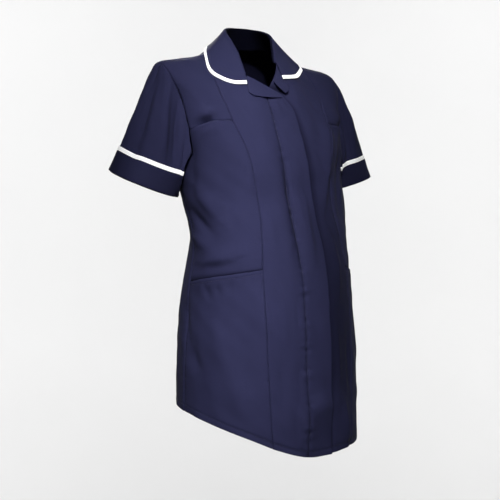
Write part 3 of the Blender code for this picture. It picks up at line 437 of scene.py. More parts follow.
    def cast(self, places: Array) -> Array:
        """Return the plain form's point at each place of angle and climb."""
        angle = places[..., 0]
        climb = places[..., 1]
        rise = np.clip((climb - self.chest_level) / self.climb_radius, 0.0, None)
        level = np.minimum(climb, self.chest_level)
        start = np.stack([np.zeros_like(climb), self.section(4, level), level], axis=-1)
        heading = np.stack(
            [np.sin(angle) * np.cos(rise), np.cos(angle) * np.cos(rise), np.sin(rise)], axis=-1
        )
        near = np.zeros_like(climb)
        far = np.full_like(climb, self.reach)
        for _ in range(self.halvings):
            middle = (near + far) / 2.0
            point = start + heading * middle[..., None]
            out = self.outside(point[..., 0], point[..., 1], point[..., 2]) > 0.0
            far = np.where(out, middle, far)
            near = np.where(out, near, middle)
        return start + heading * far[..., None]

    def place(self, guides: Table | Array) -> Array:
        """Return the angle and climb of guide points given as out, forward and height."""
        guides = np.asarray(guides, dtype=float)
        level = np.minimum(guides[..., 2], self.chest_level)
        ahead = guides[..., 1] - self.section(4, level)
        angle = np.arctan2(guides[..., 0], ahead)
        rise = np.arctan2(guides[..., 2] - level, np.hypot(guides[..., 0], ahead))
        return np.stack([angle, level + self.climb_radius * rise], axis=-1)

    def place_on_front(self, out: Array, height: Array) -> Array:
        """Return the angle and climb of front points given as out and height."""
        out = np.asarray(out, dtype=float)
        height = np.asarray(height, dtype=float)
        near = self.section(4, height)
        far = near + self.reach / 2.0
        for _ in range(self.halvings):
            middle = (near + far) / 2.0
            beyond = self.outside(out, middle, height) > 0.0
            far = np.where(beyond, middle, far)
            near = np.where(beyond, near, middle)
        return self.place(np.stack([out, far, height], axis=-1))

    def drape(self, places: Array) -> Array:
        """Return how far folds, creases and unevenness move the cloth at each place."""
        angle = places[..., 0]
        climb = places[..., 1]
        moved = np.zeros_like(climb)
        for row in self.near_folds + self.far_folds + self.back_folds:
            start = self.place(row[0:3])
            end = self.place(row[3:6])
            run_angle = wrap(end[0] - start[0], FULL_TURN)
            away_angle = wrap(angle - start[0], FULL_TURN)
            run = np.array([run_angle * self.climb_radius, end[1] - start[1]])
            away = np.stack([away_angle * self.climb_radius, climb - start[1]], axis=-1)
            share = np.clip(away @ run / (run @ run), 0.0, 1.0)
            distance = np.linalg.norm(away - share[..., None] * run, axis=-1)
            beside = np.sign(run[0] * away[..., 1] - run[1] * away[..., 0])
            width = row[6] * (1.0 - row[8] * beside)
            swell = self.fold_end_share + (1.0 - self.fold_end_share) * np.sin(math.pi * share)
            moved += row[7] * swell * bell(distance, width)
        return moved + self.uneven(np.stack([angle * self.climb_radius, climb], axis=-1))

    def uneven(self, spots: Array) -> Array:
        """Return the cloth's small unevenness at spots given in metres along and up."""
        draw = np.random.default_rng(self.uneven_seed)
        total = np.zeros(spots.shape[:-1])
        for _ in range(self.uneven_waves):
            length = draw.uniform(*self.uneven_lengths)
            heading = draw.uniform(0.0, FULL_TURN)
            phase = draw.uniform(0.0, FULL_TURN)
            along = spots[..., 0] * math.cos(heading) + spots[..., 1] * math.sin(heading)
            total += np.sin(FULL_TURN * along / length + phase)
        return total * self.unevenness

    def grid(self, places: Array, lift: Array) -> tuple[Array, Array]:
        """Return a grid's points, moved out by lift, and the plain form's normals."""
        base = self.cast(places)
        across = np.gradient(base, axis=1)
        upward = np.gradient(base, axis=0)
        normal = unit(np.cross(upward, across))
        facing = np.sign(np.sum(normal * (base - np.array([0.0, 0.02, 0.0])), axis=-1).mean())
        normal *= facing
        return base + normal * (lift + self.drape(places))[..., None], normal

    def spots(self, places: Array, lift: Array) -> Array:
        """Return single points of the cloth, moved out by lift, with no creases."""
        turn = np.array([self.normal_step / self.climb_radius, 0.0])
        step = np.array([0.0, self.normal_step])
        across = self.cast(places + turn) - self.cast(places - turn)
        upward = self.cast(places + step) - self.cast(places - step)
        normal = unit(np.cross(upward, across))
        return self.cast(places) + normal * np.asarray(lift)[..., None]


@dataclass(frozen=True)
class SeamPlan:
    """Where the seams, edges and hem lie on the form, for any number of rows."""

    form: BodyForm
    rows_to_mouth: int = 80
    rows_to_underarm: int = 56
    rows_to_bust: int = 32
    rows_to_roll: int = 16
    rows_to_gorge: int = 16
    rows_to_shoulder: int = 40
    centre_steps: int = 40
    side_steps: int = 64
    neck_steps: int = 112
    # angle in degrees and height of the hem
    hem: Table = (
        (-180.0, -0.643),
        (-150.0, -0.642),
        (-120.0, -0.6435),
        (-104.0, -0.6500),
        (-88.0, -0.6575),
        (-73.0, -0.6705),
        (-52.0, -0.6920),
        (-32.0, -0.7150),
        (-12.0, -0.7300),
        (8.0, -0.7305),
        (30.0, -0.7245),
        (58.0, -0.7185),
        (74.0, -0.702),
        (90.0, -0.676),
        (106.0, -0.657),
        (130.0, -0.645),
        (180.0, -0.643),
    )
    # out and height of the princess seam
    princess_line: Table = (
        (0.092, -0.720),
        (0.096, -0.640),
        (0.099, -0.540),
        (0.099, -0.450),
        (0.098, -0.397),
        (0.093, -0.345),
        (0.0885, -0.300),
        (0.090, -0.240),
        (0.0965, -0.190),
        (0.1085, -0.145),
        (0.1155, -0.105),
        (0.1195, -0.072),
        (0.1170, -0.045),
    )
    princess_mouth: float = -0.397
    princess_underarm: float = -0.232
    princess_bust: float = -0.132
    princess_roll: float = -0.100
    princess_shoulder: tuple = (0.108, -0.008, -0.013)
    side_angle: float = math.radians(96.0)
    side_mouth: float = -0.421
    underarm: tuple = (0.1760, 0.009, -0.215)
    armhole_notch: tuple = (0.1745, 0.049, -0.150)
    front_armhole_low: Table = (
        underarm,
        (0.1765, 0.037, -0.199),
        (0.1750, 0.052, -0.176),
        armhole_notch,
    )
    shoulder_point: tuple = (0.1995, -0.005, -0.029)
    front_armhole_high: Table = (
        armhole_notch,
        (0.1770, 0.040, -0.115),
        (0.1820, 0.032, -0.085),
        (0.1910, 0.021, -0.058),
        shoulder_point,
    )
    back_armhole_line: Table = (
        underarm,
        (0.1765, -0.022, -0.196),
        (0.1760, -0.044, -0.160),
        (0.1780, -0.049, -0.115),
        (0.1880, -0.040, -0.070),
        shoulder_point,
    )
    neck_point: tuple = (0.065, -0.012, 0.010)
    shoulder_middle: tuple = (0.155, -0.008, -0.021)
    bust_middle: tuple = (0.146, 0.074, -0.137)
    back_neck: Table = (
        (-0.065, -0.012, 0.010),
        (-0.047, -0.045, 0.014),
        (0.000, -0.061, 0.016),
        (0.047, -0.045, 0.014),
        neck_point,
    )
    stitch_line_out: float = -0.0275
    stitch_top: float = -0.065
    lap_out: float = 0.0275
    lap_curve: Table = (
        (0.0275, -0.150),
        (0.0268, -0.125),
        (0.0238, -0.106),
        (0.0165, -0.093),
        (0.0085, -0.084),
    )
    underlap_out: float = -0.020
    underlap_top: float = -0.078
    centre_angle: float = 0.15
    right_roll: Table = (
        (-0.0275, 0.0700, -0.065),
        (-0.0440, 0.0650, -0.0565),
        (-0.0595, 0.0580, -0.048),
    )
    right_neck: Table = (
        (-0.0595, 0.0580, -0.048),
        (-0.0660, 0.0400, -0.026),
        (-0.0680, 0.0150, -0.004),
        (-0.065, -0.012, 0.010),
    )
    left_roll: Table = (
        (-0.0200, 0.0760, -0.078),
        (-0.0120, 0.0720, -0.068),
        (0.0040, 0.0630, -0.052),
        (0.0157, 0.0550, -0.037),
        (0.0250, 0.0450, -0.022),
    )
    left_neck: Table = (
        (0.0250, 0.0450, -0.022),
        (0.0400, 0.0330, -0.012),
        (0.0560, 0.0130, 0.000),
        neck_point,
    )

    @property
    def underarm_row(self) -> int:
        """The row of a side seam at the underarm."""
        return self.rows_to_mouth + self.rows_to_underarm

    @property
    def bust_row(self) -> int:
        """The row of a princess seam at the bust seam."""
        return self.underarm_row + self.rows_to_bust

    @property
    def roll_row(self) -> int:
        """The row of the fly's stitch line at the lapel."""
        return self.bust_row + self.rows_to_roll

    @property
    def rows_from_bust(self) -> int:
        """How many rows lie between the bust seam and the shoulder."""
        return self.rows_to_roll + self.rows_to_gorge + self.rows_to_shoulder

    def mirrored(self, places: Array, side: Side) -> Array:
        """Return places of the wearer's left side for that side or the other."""
        return places * np.array([side.value, 1.0])

    def hem_height(self, angle: Array | float) -> Array:
        """Return the hem's height at angles round the body."""
        return read_table(self.hem, wrap(np.degrees(np.asarray(angle, dtype=float))))

    def hem_line(self, start: float, end: float, count: int) -> Array:
        """Return the hem's places between two angles."""
        angle = np.linspace(start, end, count + 1)
        return np.stack([angle, self.hem_height(angle)], axis=-1)

    def front_curve(self, table: Table, low: float, high: float, count: int, side: Side) -> Array:
        """Return a front seam between two heights, from a table of out and height."""
        heights = np.linspace(low, high, count + 1)
        outs = read_table(table, heights, index=0, by=1)
        return self.form.place_on_front(outs * side.value, heights)

    def princess(self, side: Side) -> Array:
        """Return the princess seam from the hem to the shoulder."""
        line = self.princess_line
        start = self.form.place_on_front(line[0][0] * side.value, line[0][1])
        stops = (
            float(self.hem_height(start[0])), self.princess_mouth, self.princess_underarm,
            self.princess_bust, self.princess_roll,
        )
        counts = (self.rows_to_mouth, self.rows_to_underarm, self.rows_to_bust, self.rows_to_roll)
        low = chain(*[
            self.front_curve(line, stops[k], stops[k + 1], counts[k], side) for k in range(4)
        ])
        middle = self.form.place_on_front(line[-2][0] * side.value, line[-2][1])
        top = self.form.place_on_front(line[-1][0] * side.value, line[-1][1])
        shoulder = self.mirrored(self.form.place(self.princess_shoulder), side)
        high = spline([low[-1], middle, top, shoulder], self.rows_to_gorge + self.rows_to_shoulder)
        return chain(low, high)

    def side_seam(self, side: Side) -> Array:
        """Return the side seam from the hem to the underarm."""
        angle = self.side_angle * side.value
        mouth = (angle, self.side_mouth)
        underarm = self.mirrored(self.form.place(self.underarm), side)
        return chain(
            straight((angle, float(self.hem_height(angle))), mouth, self.rows_to_mouth),
            straight(mouth, underarm, self.rows_to_underarm),
        )

    def front_armhole(self, side: Side) -> Array:
        """Return the front armhole from the underarm to the shoulder point."""
        low = spline(self.form.place(self.front_armhole_low), self.rows_to_bust)
        high = spline(self.form.place(self.front_armhole_high), self.rows_from_bust)
        return self.mirrored(chain(low, high), side)

    def back_armhole(self, side: Side) -> Array:
        """Return the back armhole from the underarm to the shoulder point."""
        count = self.rows_to_bust + self.rows_from_bust
        return self.mirrored(spline(self.form.place(self.back_armhole_line), count), side)

    def shoulder_seam(self, side: Side) -> tuple[Array, Array]:
        """Return the shoulder seam's inner and outer part, from the neck outwards."""
        turn = self.form.place(self.princess_shoulder)
        inner = straight(self.form.place(self.neck_point), turn, self.centre_steps)
        guides = (self.princess_shoulder, self.shoulder_middle, self.shoulder_point)
        outer = spline(self.form.place(guides), self.side_steps)
        return self.mirrored(inner, side), self.mirrored(outer, side)

    def bust_seam(self, side: Side) -> Array:
        """Return the bust seam from the princess seam to the armhole."""
        inner = self.princess(side)[self.bust_row]
        outer = self.front_armhole(side)[self.rows_to_bust]
        middle = self.mirrored(self.form.place(self.bust_middle), side)
        return spline([inner, middle, outer], self.side_steps)

    def mouth(self, side: Side) -> Array:
        """Return the pocket mouth from the princess seam to the side seam."""
        row = self.rows_to_mouth
        return straight(self.princess(side)[row], self.side_seam(side)[row], self.side_steps)

    def stitch_line(self) -> Array:
        """Return the fly's stitch line from the hem to the lapel's roll line."""
        low = float(self.hem_height(-self.centre_angle))
        heights = np.linspace(low, self.stitch_top, self.roll_row + 1)
        outs = np.full_like(heights, self.stitch_line_out)
        line = self.form.place_on_front(outs, heights)
        line[0, 1] = self.hem_height(line[0, 0])
        return line

    def lap_edge(self) -> Array:
        """Return the right front's visible edge from the hem to the lapel."""
        low = float(self.hem_height(self.centre_angle))
        heights = np.linspace(low, self.lap_curve[-1][1], self.roll_row + 1)
        outs = smooth_lookup(
            heights,
            np.append(low, column(self.lap_curve, 1)),
            np.append(self.lap_out, column(self.lap_curve, 0)),
        )
        line = self.form.place_on_front(outs, heights)
        line[0, 1] = self.hem_height(line[0, 0])
        return line

    def right_inner(self) -> Array:
        """Return the right centre front's inner edge from the hem to the shoulder."""
        roll = spline(self.form.place(self.right_roll), self.rows_to_gorge)
        neck = spline(self.form.place(self.right_neck), self.rows_to_shoulder)
        return chain(self.stitch_line(), roll, neck)

    def left_inner(self) -> Array:
        """Return the left centre front's inner edge from the hem to the shoulder."""
        low = float(self.hem_height(-self.centre_angle))
        heights = np.linspace(low, self.underlap_top, self.roll_row + 1)
        outs = np.full_like(heights, self.underlap_out)
        edge = self.form.place_on_front(outs, heights)
        edge[0, 1] = self.hem_height(edge[0, 0])
        roll = spline(self.form.place(self.left_roll), self.rows_to_gorge)
        roll[0] = edge[-1]
        neck = spline(self.form.place(self.left_neck), self.rows_to_shoulder)
        return chain(edge, roll, neck)

    def neckline(self, count: int, samples: int = 5) -> Array:
        """Return the neckline from the right collar end round the back to the left one."""
        turn = np.array([FULL_TURN, 0.0])
        right = spline(self.form.place(self.right_neck), samples)
        back = self.form.place(spline(self.back_neck, 2 * samples))
        back[back[:, 0] > 0.0] -= turn
        left = spline(self.form.place(self.left_neck), samples)[::-1] - turn
        return spline(chain(right, back, left), count)


class Maths:
    """A shader socket that takes part in Python sums, each of which adds a Math node."""

    def __init__(self, bench: "Bench", socket: bpy.types.NodeSocket) -> None:
        """Wrap a socket of a bench's tree."""
        self.bench = bench
        self.socket = socket

    def _with(self, operation: str, other: "Maths | float", swapped: bool = False) -> "Maths":
        """Add a Math node on this value and another, the other first if swapped."""
        pair = (other, self) if swapped else (self, other)
        return self.bench.value("ShaderNodeMath", {"operation": operation}, dict(enumerate(pair)))

    def __add__(self, other: "Maths | float") -> "Maths":
        """Add."""
        return self._with("ADD", other)

    def __radd__(self, other: float) -> "Maths":
        """Add, reflected."""
        return self._with("ADD", other, True)

    def __mul__(self, other: "Maths | float") -> "Maths":
        """Multiply."""
        return self._with("MULTIPLY", other)

    def __rmul__(self, other: float) -> "Maths":
        """Multiply, reflected."""
        return self._with("MULTIPLY", other, True)

    def sine(self) -> "Maths":
        """Return the sine."""
        return self.bench.value("ShaderNodeMath", {"operation": "SINE"}, {0: self})


class Bench:
    """A material's node tree, and the methods that add nodes to it."""

    def __init__(self, name: str) -> None:
        """Make a material with a Principled shader alone."""
        self.material = bpy.data.materials.new(name)
        self.material.use_nodes = True
        self.tree = self.material.node_tree
        self.shader = self.tree.nodes["Principled BSDF"]

    def node(self, kind: str, settings: dict | None = None,
             inputs: dict | None = None) -> bpy.types.Node:
        """Add a node.

        Args:
            kind: the node's type.
            settings: its properties, set first.
            inputs: values or links of its sockets, by name or number.

        Returns:
            The node.
        """
        node = self.tree.nodes.new(kind)
        for key, value in (settings or {}).items():
            setattr(node, key, value)
        for key, value in (inputs or {}).items():
            self.feed(node.inputs[key], value)
        return node

    def value(self, kind: str, settings: dict | None = None, inputs: dict | None = None,
              output: str | int = 0) -> Maths:
        """Add a node and return one of its outputs for sums."""
        return Maths(self, self.node(kind, settings, inputs).outputs[output])

    def feed(self, socket: bpy.types.NodeSocket, value: object) -> None:
        """Set a socket's value, or link it."""
        if isinstance(value, Maths):
            self.tree.links.new(value.socket, socket)
        elif isinstance(value, bpy.types.NodeSocket):
            self.tree.links.new(value, socket)
        else:
            socket.default_value = value

    def noise(self, vector: object, scale: float, detail: float = 2.0) -> Maths:
        """Add a noise texture and return its value."""
        return self.value(
            "ShaderNodeTexNoise", {}, {"Vector": vector, "Scale": scale, "Detail": detail}
        )

    def mix(self, factor: Maths, first: object, second: object) -> Maths:
        """Add a mix of two colours and return it, the second where the factor is 1."""
        return self.value(
            "ShaderNodeMix", {"data_type": "RGBA"},
            {"Factor": factor, "A": first, "B": second}, "Result",
        )

    def coat(self, inputs: dict) -> None:
        """Set or link sockets of the material's shader by name."""
        for key, value in inputs.items():
            self.feed(self.shader.inputs[key], value)


@dataclass(frozen=True)
class ClothFinish:
    """Plain-woven polyester and cotton, dyed one colour, with painted shade mixed in where a piece
    marks it and, if set, a painted glow.
    """

    name: str
    slot: Slot
    colour: tuple
    shade: tuple
    tint: tuple
    roughness: float = 0.86
    roughness_change: float = 0.05
    sheen: float = 0.005
    sheen_roughness: float = 0.5
    gloss: float = 0.05
    # painted shade: the near-black colour and its strength, mixed in where a piece marks shade in
    # seams, grooves, folds, steps and insides
    ditch_colour: tuple = (0.0016, 0.0018, 0.0072, 1.0)
    ditch_shade: float = 0.60
    # painted light: emission that keeps a cloth bright where it lies in shade
    glow: float = 0.0
    thread_pitch: float = 0.00055
    weave_shade: float = 0.16
    weave_depth: float = 0.00006
    weave_share: float = 0.4
    slub_share: float = 0.6
    cloud_scale: float = 22.0
    cloud_detail: float = 4.0
    slub_size: tuple = (90.0, 560.0, 1.0)

    def material(self) -> bpy.types.Material:
        """Return the finish as a material that reads the piece's own UV map and its painted shade.
        """
        bench = Bench(self.name)
        place = bench.node("ShaderNodeUVMap", {"uv_map": "weave"}).outputs["UV"]
        parts = bench.node("ShaderNodeSeparateXYZ", {}, {0: place})
        turn = FULL_TURN / self.thread_pitch
        warp = (Maths(bench, parts.outputs["X"]) * turn).sine()
        weft = (Maths(bench, parts.outputs["Y"]) * turn).sine()
        weave = warp * weft * 0.5 + 0.5
        spot = bench.node("ShaderNodeTexCoord").outputs["Object"]
        cloud = bench.noise(spot, self.cloud_scale, self.cloud_detail)
        drawn = bench.value("ShaderNodeMapping", {}, {"Vector": place, "Scale": self.slub_size})
        slub = bench.noise(drawn, 1.0)
        ground = bench.mix(cloud, self.shade, self.colour)
        threads = (weave * self.weave_share + slub * self.slub_share) * self.weave_shade
        dye = bench.mix(threads, ground, self.tint)
        # painted shade: read at each point and mixed into the base colour
        ditch = bench.value("ShaderNodeAttribute", {"attribute_name": "ditch"}, {}, "Fac")
        bump = bench.value(
            "ShaderNodeBump", {},
            {"Strength": 1.0, "Distance": self.weave_depth, "Height": weave + slub}, "Normal",
        )
        bench.coat({
            "Base Color": bench.mix(ditch * self.ditch_shade, dye, self.ditch_colour),
            "Roughness": (
                self.roughness - self.roughness_change * 0.5 + slub * self.roughness_change
            ),
            "Sheen Weight": self.sheen,
            "Sheen Roughness": self.sheen_roughness,
            "Specular IOR Level": self.gloss,
            "Normal": bump,
        })
        # painted light: the cloth glows in its own colour though it is no lamp
        if self.glow > 0.0:
            bench.coat({"Emission Color": self.colour, "Emission Strength": self.glow})
        return bench.material


@dataclass(frozen=True)
class ThreadFinish:
    """Twisted sewing thread with a slight gloss."""

    name: str
    colour: tuple
    shade: tuple
    twist_scale: float = 2600.0
    roughness: float = 0.6

    def material(self) -> bpy.types.Material:
        """Return the finish as a material."""
        bench = Bench(self.name)
        spot = bench.node("ShaderNodeTexCoord").outputs["Object"]
        dye = bench.mix(bench.noise(spot, self.twist_scale), self.shade, self.colour)
        bench.coat({"Base Color": dye, "Roughness": self.roughness})
        return bench.material


@dataclass(frozen=True)
class FloorFinish:
    """A pale matt sweep with hardly any grain."""

    name: str = "pale_sweep"
    colour: tuple = (0.74, 0.74, 0.74, 1.0)
    shade: tuple = (0.72, 0.72, 0.72, 1.0)
    grain_scale: float = 3.0
    roughness: float = 0.95

    def material(self) -> bpy.types.Material:
        """Return the finish as a material."""
        bench = Bench(self.name)
        spot = bench.node("ShaderNodeTexCoord").outputs["Object"]
        paint = bench.mix(bench.noise(spot, self.grain_scale), self.shade, self.colour)
        bench.coat({"Base Color": paint, "Roughness": self.roughness})
        return bench.material


@dataclass(frozen=True)
class Wardrobe:
    """The tunic's finishes."""

    navy: ClothFinish = ClothFinish(
        "navy_cloth", Slot.BODY,
        colour=(0.0180, 0.0187, 0.0505, 1.0),
        shade=(0.0142, 0.0148, 0.0415, 1.0),
        tint=(0.0420, 0.0435, 0.0980, 1.0),
    )
    white: ClothFinish = ClothFinish(
        "white_trim_cloth", Slot.TRIM,
        colour=(0.86, 0.86, 0.85, 1.0),
        shade=(0.80, 0.80, 0.80, 1.0),
        tint=(0.70, 0.70, 0.72, 1.0),
        # painted light: the white trims glow, so that they stay white in shade
        glow=0.32,
    )
    navy_thread: ThreadFinish = ThreadFinish(
        "navy_thread", (0.018, 0.019, 0.050, 1.0), (0.008, 0.009, 0.026, 1.0)
    )


class EdgeKind(Enum):
    """How an edge of a panel is finished."""

    SEAM = "sewn to its neighbour"
    HEM = "turned up and stitched"
    TURNED = "turned in, with nothing beside it"
    JOINED = "one cloth with its neighbour, with a stitched line between"


@dataclass(frozen=True)
class EdgeWork:
    """The relief that sewing gives an edge, in metres, and the painted shade in its ditch and
    stitched groove.
    """

    kind: EdgeKind
    pucker: float = 0.00045
    pitch: float = 0.0115
    reach: float = 0.011
    phase: float = 0.0
    dip: float = 0.0017
    dip_width: float = 0.0015
    # painted shade: how wide the darkening in a seam's ditch is
    shade_width: float = 0.0011
    stitch_at: float = 0.0
    groove: float = 0.0008
    groove_width: float = 0.0015
    # painted shade: how dark a stitched groove is painted
    groove_shade: float = 0.55
    stitch_grip: float = 0.8
    # painted shade: how much the darkening in the ditch varies along the seam
    shade_change: float = 0.0
    seam_gap: float = 0.00015

    def relief(self, distance: Array, along: Array) -> Array:
        """Return how far the edge's sewing moves the cloth.

        Args:
            distance: how far each point is from the edge.
            along: the place along the edge.

        Returns:
            The movement out, below zero inwards.
        """
        wave = uneven_wave(along, self.pitch, self.phase)
        moved = -self.dip * bell(distance, self.dip_width)
        beside = np.abs(distance - self.stitch_at)
        grip = 1.0 - self.stitch_grip * bell(beside, self.groove_width)
        moved += self.pucker * wave * bell(beside, self.reach) * grip
        if self.stitch_at > 0.0:
            moved -= self.groove * bell(beside, self.groove_width)
        return moved

    @property
    def gap(self) -> float:
        """How far the cloth stays back from the seam's line."""
        return self.seam_gap if self.kind is EdgeKind.SEAM else 0.0

    def ditch(self, distance: Array, along: Array) -> Array:
        """Return the painted shade in the edge's ditch or its stitched groove at each point.

        Args:
            distance: how far each point is from the edge.
            along: the place along the edge.

        Returns:
            The painted shade, 1 at the bottom of a closed seam.
        """
        if self.kind in (EdgeKind.HEM, EdgeKind.TURNED):
            groove = bell(distance - self.stitch_at, self.groove_width)
            return self.groove_shade * groove * float(self.stitch_at > 0.0)
        depth = 1.0 - self.shade_change * (0.5 + uneven_wave(along, self.pitch, self.phase))
        return depth * bell(distance, self.shade_width)


@dataclass
class Sewn:
    """A finished sheet: its object, its outside's points and normals, and its inner grid."""

    piece: bpy.types.Object
    outside: Array
    normals: Array
    inside: Array

    def line_near_row_edge(self, bottom: bool, distance: float) -> tuple[Array, Array]:
        """Return a line at a distance from the bottom or top edge, with its normals."""
        grid = self.outside if bottom else self.outside[::-1]
        normals = self.normals if bottom else self.normals[::-1]
        run = arc_lengths(grid, 0)
        return self._read(run.T, grid.transpose(1, 0, 2), normals.transpose(1, 0, 2), distance)

    def line_near_side_edge(self, first: bool, distance: float) -> tuple[Array, Array]:
        """Return a line at a distance from the first or last column, with its normals."""
        grid = self.outside if first else self.outside[:, ::-1]
        normals = self.normals if first else self.normals[:, ::-1]
        return self._read(arc_lengths(grid, 1), grid, normals, distance)

    def _read(self, run: Array, grid: Array, normals: Array, at: float) -> tuple[Array, Array]:
        """Interpolate each line of a grid at one distance along it."""
        points = [along_curve(at, lengths, line) for lengths, line in zip(run, grid)]
        facing = [along_curve(at, lengths, normal) for lengths, normal in zip(run, normals)]
        return np.array(points), np.array(facing)


@dataclass
class Workroom:
    """Turns grids of points into finished sheets of cloth."""

    finishes: Wardrobe = field(default_factory=Wardrobe)
    wall: float = 0.0012
    # painted shade on the inner side of every piece
    inside_shade: float = 1.5
    smooth_angle: float = math.radians(55.0)
    dyed: dict = field(default_factory=dict)

    def dye(self, finish: ClothFinish | ThreadFinish) -> bpy.types.Material:
        """Return the finish's material, made once."""
        if finish.name not in self.dyed:
            self.dyed[finish.name] = finish.material()
        return self.dyed[finish.name]

    def cut(
        self, name: str, nodes: tuple, points: Array, finish: ClothFinish,
        wall: float | None = None, closed: bool = False, turned: bool = False,
        ditch: Array | None = None,
    ) -> Sewn:
        """Make one piece of cloth through a grid of points.

        Args:
            name: the piece's name.
            nodes: the CAD nodes that it stands for.
            points: rows of points as out, forward and height.
            finish: what it is made of.
            wall: the cloth's thickness, laid on outwards.
            closed: whether the rows are rings.
            turned: whether the grid runs the other way round.
            ditch: how much painted shade darkens each point, 1 at a closed seam's bottom.

        Returns:
            The finished piece.
        """
        wall = self.wall if wall is None else wall
        world = points * np.array([1.0, -1.0, 1.0])
        mesh = self._grid_mesh(name, world, closed, turned)
        # painted shade: kept at each point for the material to darken the cloth
        if ditch is not None:
            layer = mesh.attributes.new("ditch", "FLOAT", "POINT")
            layer.data.foreach_set("value", ditch.ravel().astype(np.float32))
        piece = add_object(name, mesh)
        mesh.materials.append(self.dye(finish))
        solid = piece.modifiers.new("wall", "SOLIDIFY")
        solid.thickness = wall
        solid.offset = 1.0
        solid.use_quality_normals = True
        self._apply_and_smooth(piece, "wall")
        self._shade_inside(piece, world.shape[0] * world.shape[1])
        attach(piece, BODY)
        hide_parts(*nodes)
        normals = self._normals(world, closed, turned)
        LOG.info("%s: %d faces", name, len(piece.data.polygons))
        ring = np.concatenate([world, world[:, :1]], axis=1) if closed else world
        return Sewn(piece, world + normals * wall, normals, ring)

    def sheet(
        self, name: str, nodes: tuple, points: Array, finish: ClothFinish, rests_on: tuple,
        wall: float | None = None, closed: bool = False, turned: bool = False,
        held: str = "hung", trims: tuple = (), ditch: Array | None = None,
    ) -> Sewn:
        """Make one sheet of cloth, as cut does."""
        sewn = self.cut(name, nodes, points, finish, wall, closed, turned, ditch)
        return sewn

    def _grid_mesh(self, name: str, world: Array, closed: bool, turned: bool) -> bpy.types.Mesh:
        """Return a grid's mesh with a UV map in metres along the threads."""
        rows, columns = world.shape[:2]
        row, place = np.meshgrid(
            np.arange(rows - 1), np.arange(columns if closed else columns - 1), indexing="ij"
        )
        row, place = row.ravel(), place.ravel()
        beside = (place + 1) % columns
        corners = np.stack([
            row * columns + place, row * columns + beside,
            (row + 1) * columns + beside, (row + 1) * columns + place,
        ], axis=1)
        ring = np.concatenate([world, world[:, :1]], axis=1)
        across = arc_lengths(ring, 1)
        across = across - across.mean(axis=1, keepdims=True)
        upward = arc_lengths(ring, 0)
        next_place = place + 1
        u = np.stack([across[row, place], across[row, next_place],
                      across[row + 1, next_place], across[row + 1, place]], axis=1)
        v = np.stack([upward[row, place], upward[row, next_place],
                      upward[row + 1, next_place], upward[row + 1, place]], axis=1)
        if turned:
            corners, u, v = corners[:, ::-1], u[:, ::-1], v[:, ::-1]
        mesh = bpy.data.meshes.new(name)
        mesh.from_pydata(world.reshape(-1, 3).tolist(), [], corners.tolist())
        layer = mesh.uv_layers.new(name="weave")
        layer.data.foreach_set("uv", np.stack([u, v], axis=-1).ravel().astype(np.float32))
        mesh.update()
        return mesh

    def _shade_inside(self, piece: bpy.types.Object, count: int) -> None:
        """Paint shade on the cloth's inner side, whose points follow the outer ones in the mesh."""
        layer = piece.data.attributes.get("ditch")
        if layer is None:
            layer = piece.data.attributes.new("ditch", "FLOAT", "POINT")
        values = np.zeros(len(piece.data.vertices), dtype=np.float32)
        layer.data.foreach_get("value", values)
        values[count:] = self.inside_shade
        layer.data.foreach_set("value", values)

    def _normals(self, world: Array, closed: bool, turned: bool) -> Array:
        """Return a grid's normals on the side where the wall is laid on."""
        if closed:
            across = np.roll(world, -1, axis=1) - np.roll(world, 1, axis=1)
        else:
            across = np.gradient(world, axis=1)
        upward = np.gradient(world, axis=0)
        return unit(np.cross(across, upward) * (-1.0 if turned else 1.0))

    def _apply_and_smooth(self, piece: bpy.types.Object, modifier: str) -> None:
        """Apply a modifier and shade the piece smooth up to its sharp edges."""
        bpy.ops.object.select_all(action="DESELECT")
        piece.select_set(True)
        bpy.context.view_layer.objects.active = piece
        bpy.ops.object.modifier_apply(modifier=modifier)
        bpy.ops.object.shade_smooth_by_angle(angle=self.smooth_angle)


@dataclass
class Panel:
    """One body panel: a grid of places on the form, with the sewing at its edges."""

    form: BodyForm
    name: str
    nodes: tuple
    places: Array
    rests_on: tuple
    side: Side = Side.LEFT
    lift: Array | float = 0.0
    # painted shade at each point, before the painted shade of the sewn edges is added
    shade: Array | float = 0.0
    first: EdgeWork | None = None
    last: EdgeWork | None = None
    bottom: EdgeWork | None = None
    top: EdgeWork | None = None

    def sew(self, room: Workroom, finish: ClothFinish) -> Sewn:
        """Build the panel and return the finished sheet."""
        places = self.places
        base = self.form.cast(places)
        across = arc_lengths(base, 1)
        upward = arc_lengths(base, 0)
        along_up = places[..., 1]
        along_round = places[..., 0] * self.form.climb_radius
        edges = (
            (self.first, across, along_up),
            (self.last, across[:, -1:] - across, along_up),
            (self.bottom, upward, along_round),
            (self.top, upward[-1:] - upward, along_round),
        )
        lift = np.broadcast_to(np.asarray(self.lift, dtype=float), places.shape[:2]).copy()
        # painted shade: the panel's own, darkened further in the ditches and grooves of its edges
        ditch = np.broadcast_to(np.asarray(self.shade, dtype=float), lift.shape).copy()
        for work, distance, along in edges:
            if work is not None:
                lift += work.relief(distance, along)
                ditch = np.maximum(ditch, work.ditch(distance, along))
        points, _ = self.form.grid(places, lift)
        self._part_seams(points)
        turned = self.side is Side.RIGHT
        return room.sheet(self.name, self.nodes, points, finish, self.rests_on, turned=turned,
                          ditch=ditch)

    def _part_seams(self, points: Array) -> None:
        """Draw sewn edges back a little, so that neighbours stay apart."""
        columns = points.transpose(1, 0, 2)
        edges = (
            (self.bottom, points, 0, 1), (self.top, points, -1, -2),
            (self.first, columns, 0, 1), (self.last, columns, -1, -2),
        )
        for work, lines, edge, inner in edges:
            if work is not None and work.gap > 0.0:
                run = lines[inner] - lines[edge]
                lines[edge] += work.gap * run / np.linalg.norm(run, axis=-1)[..., None]


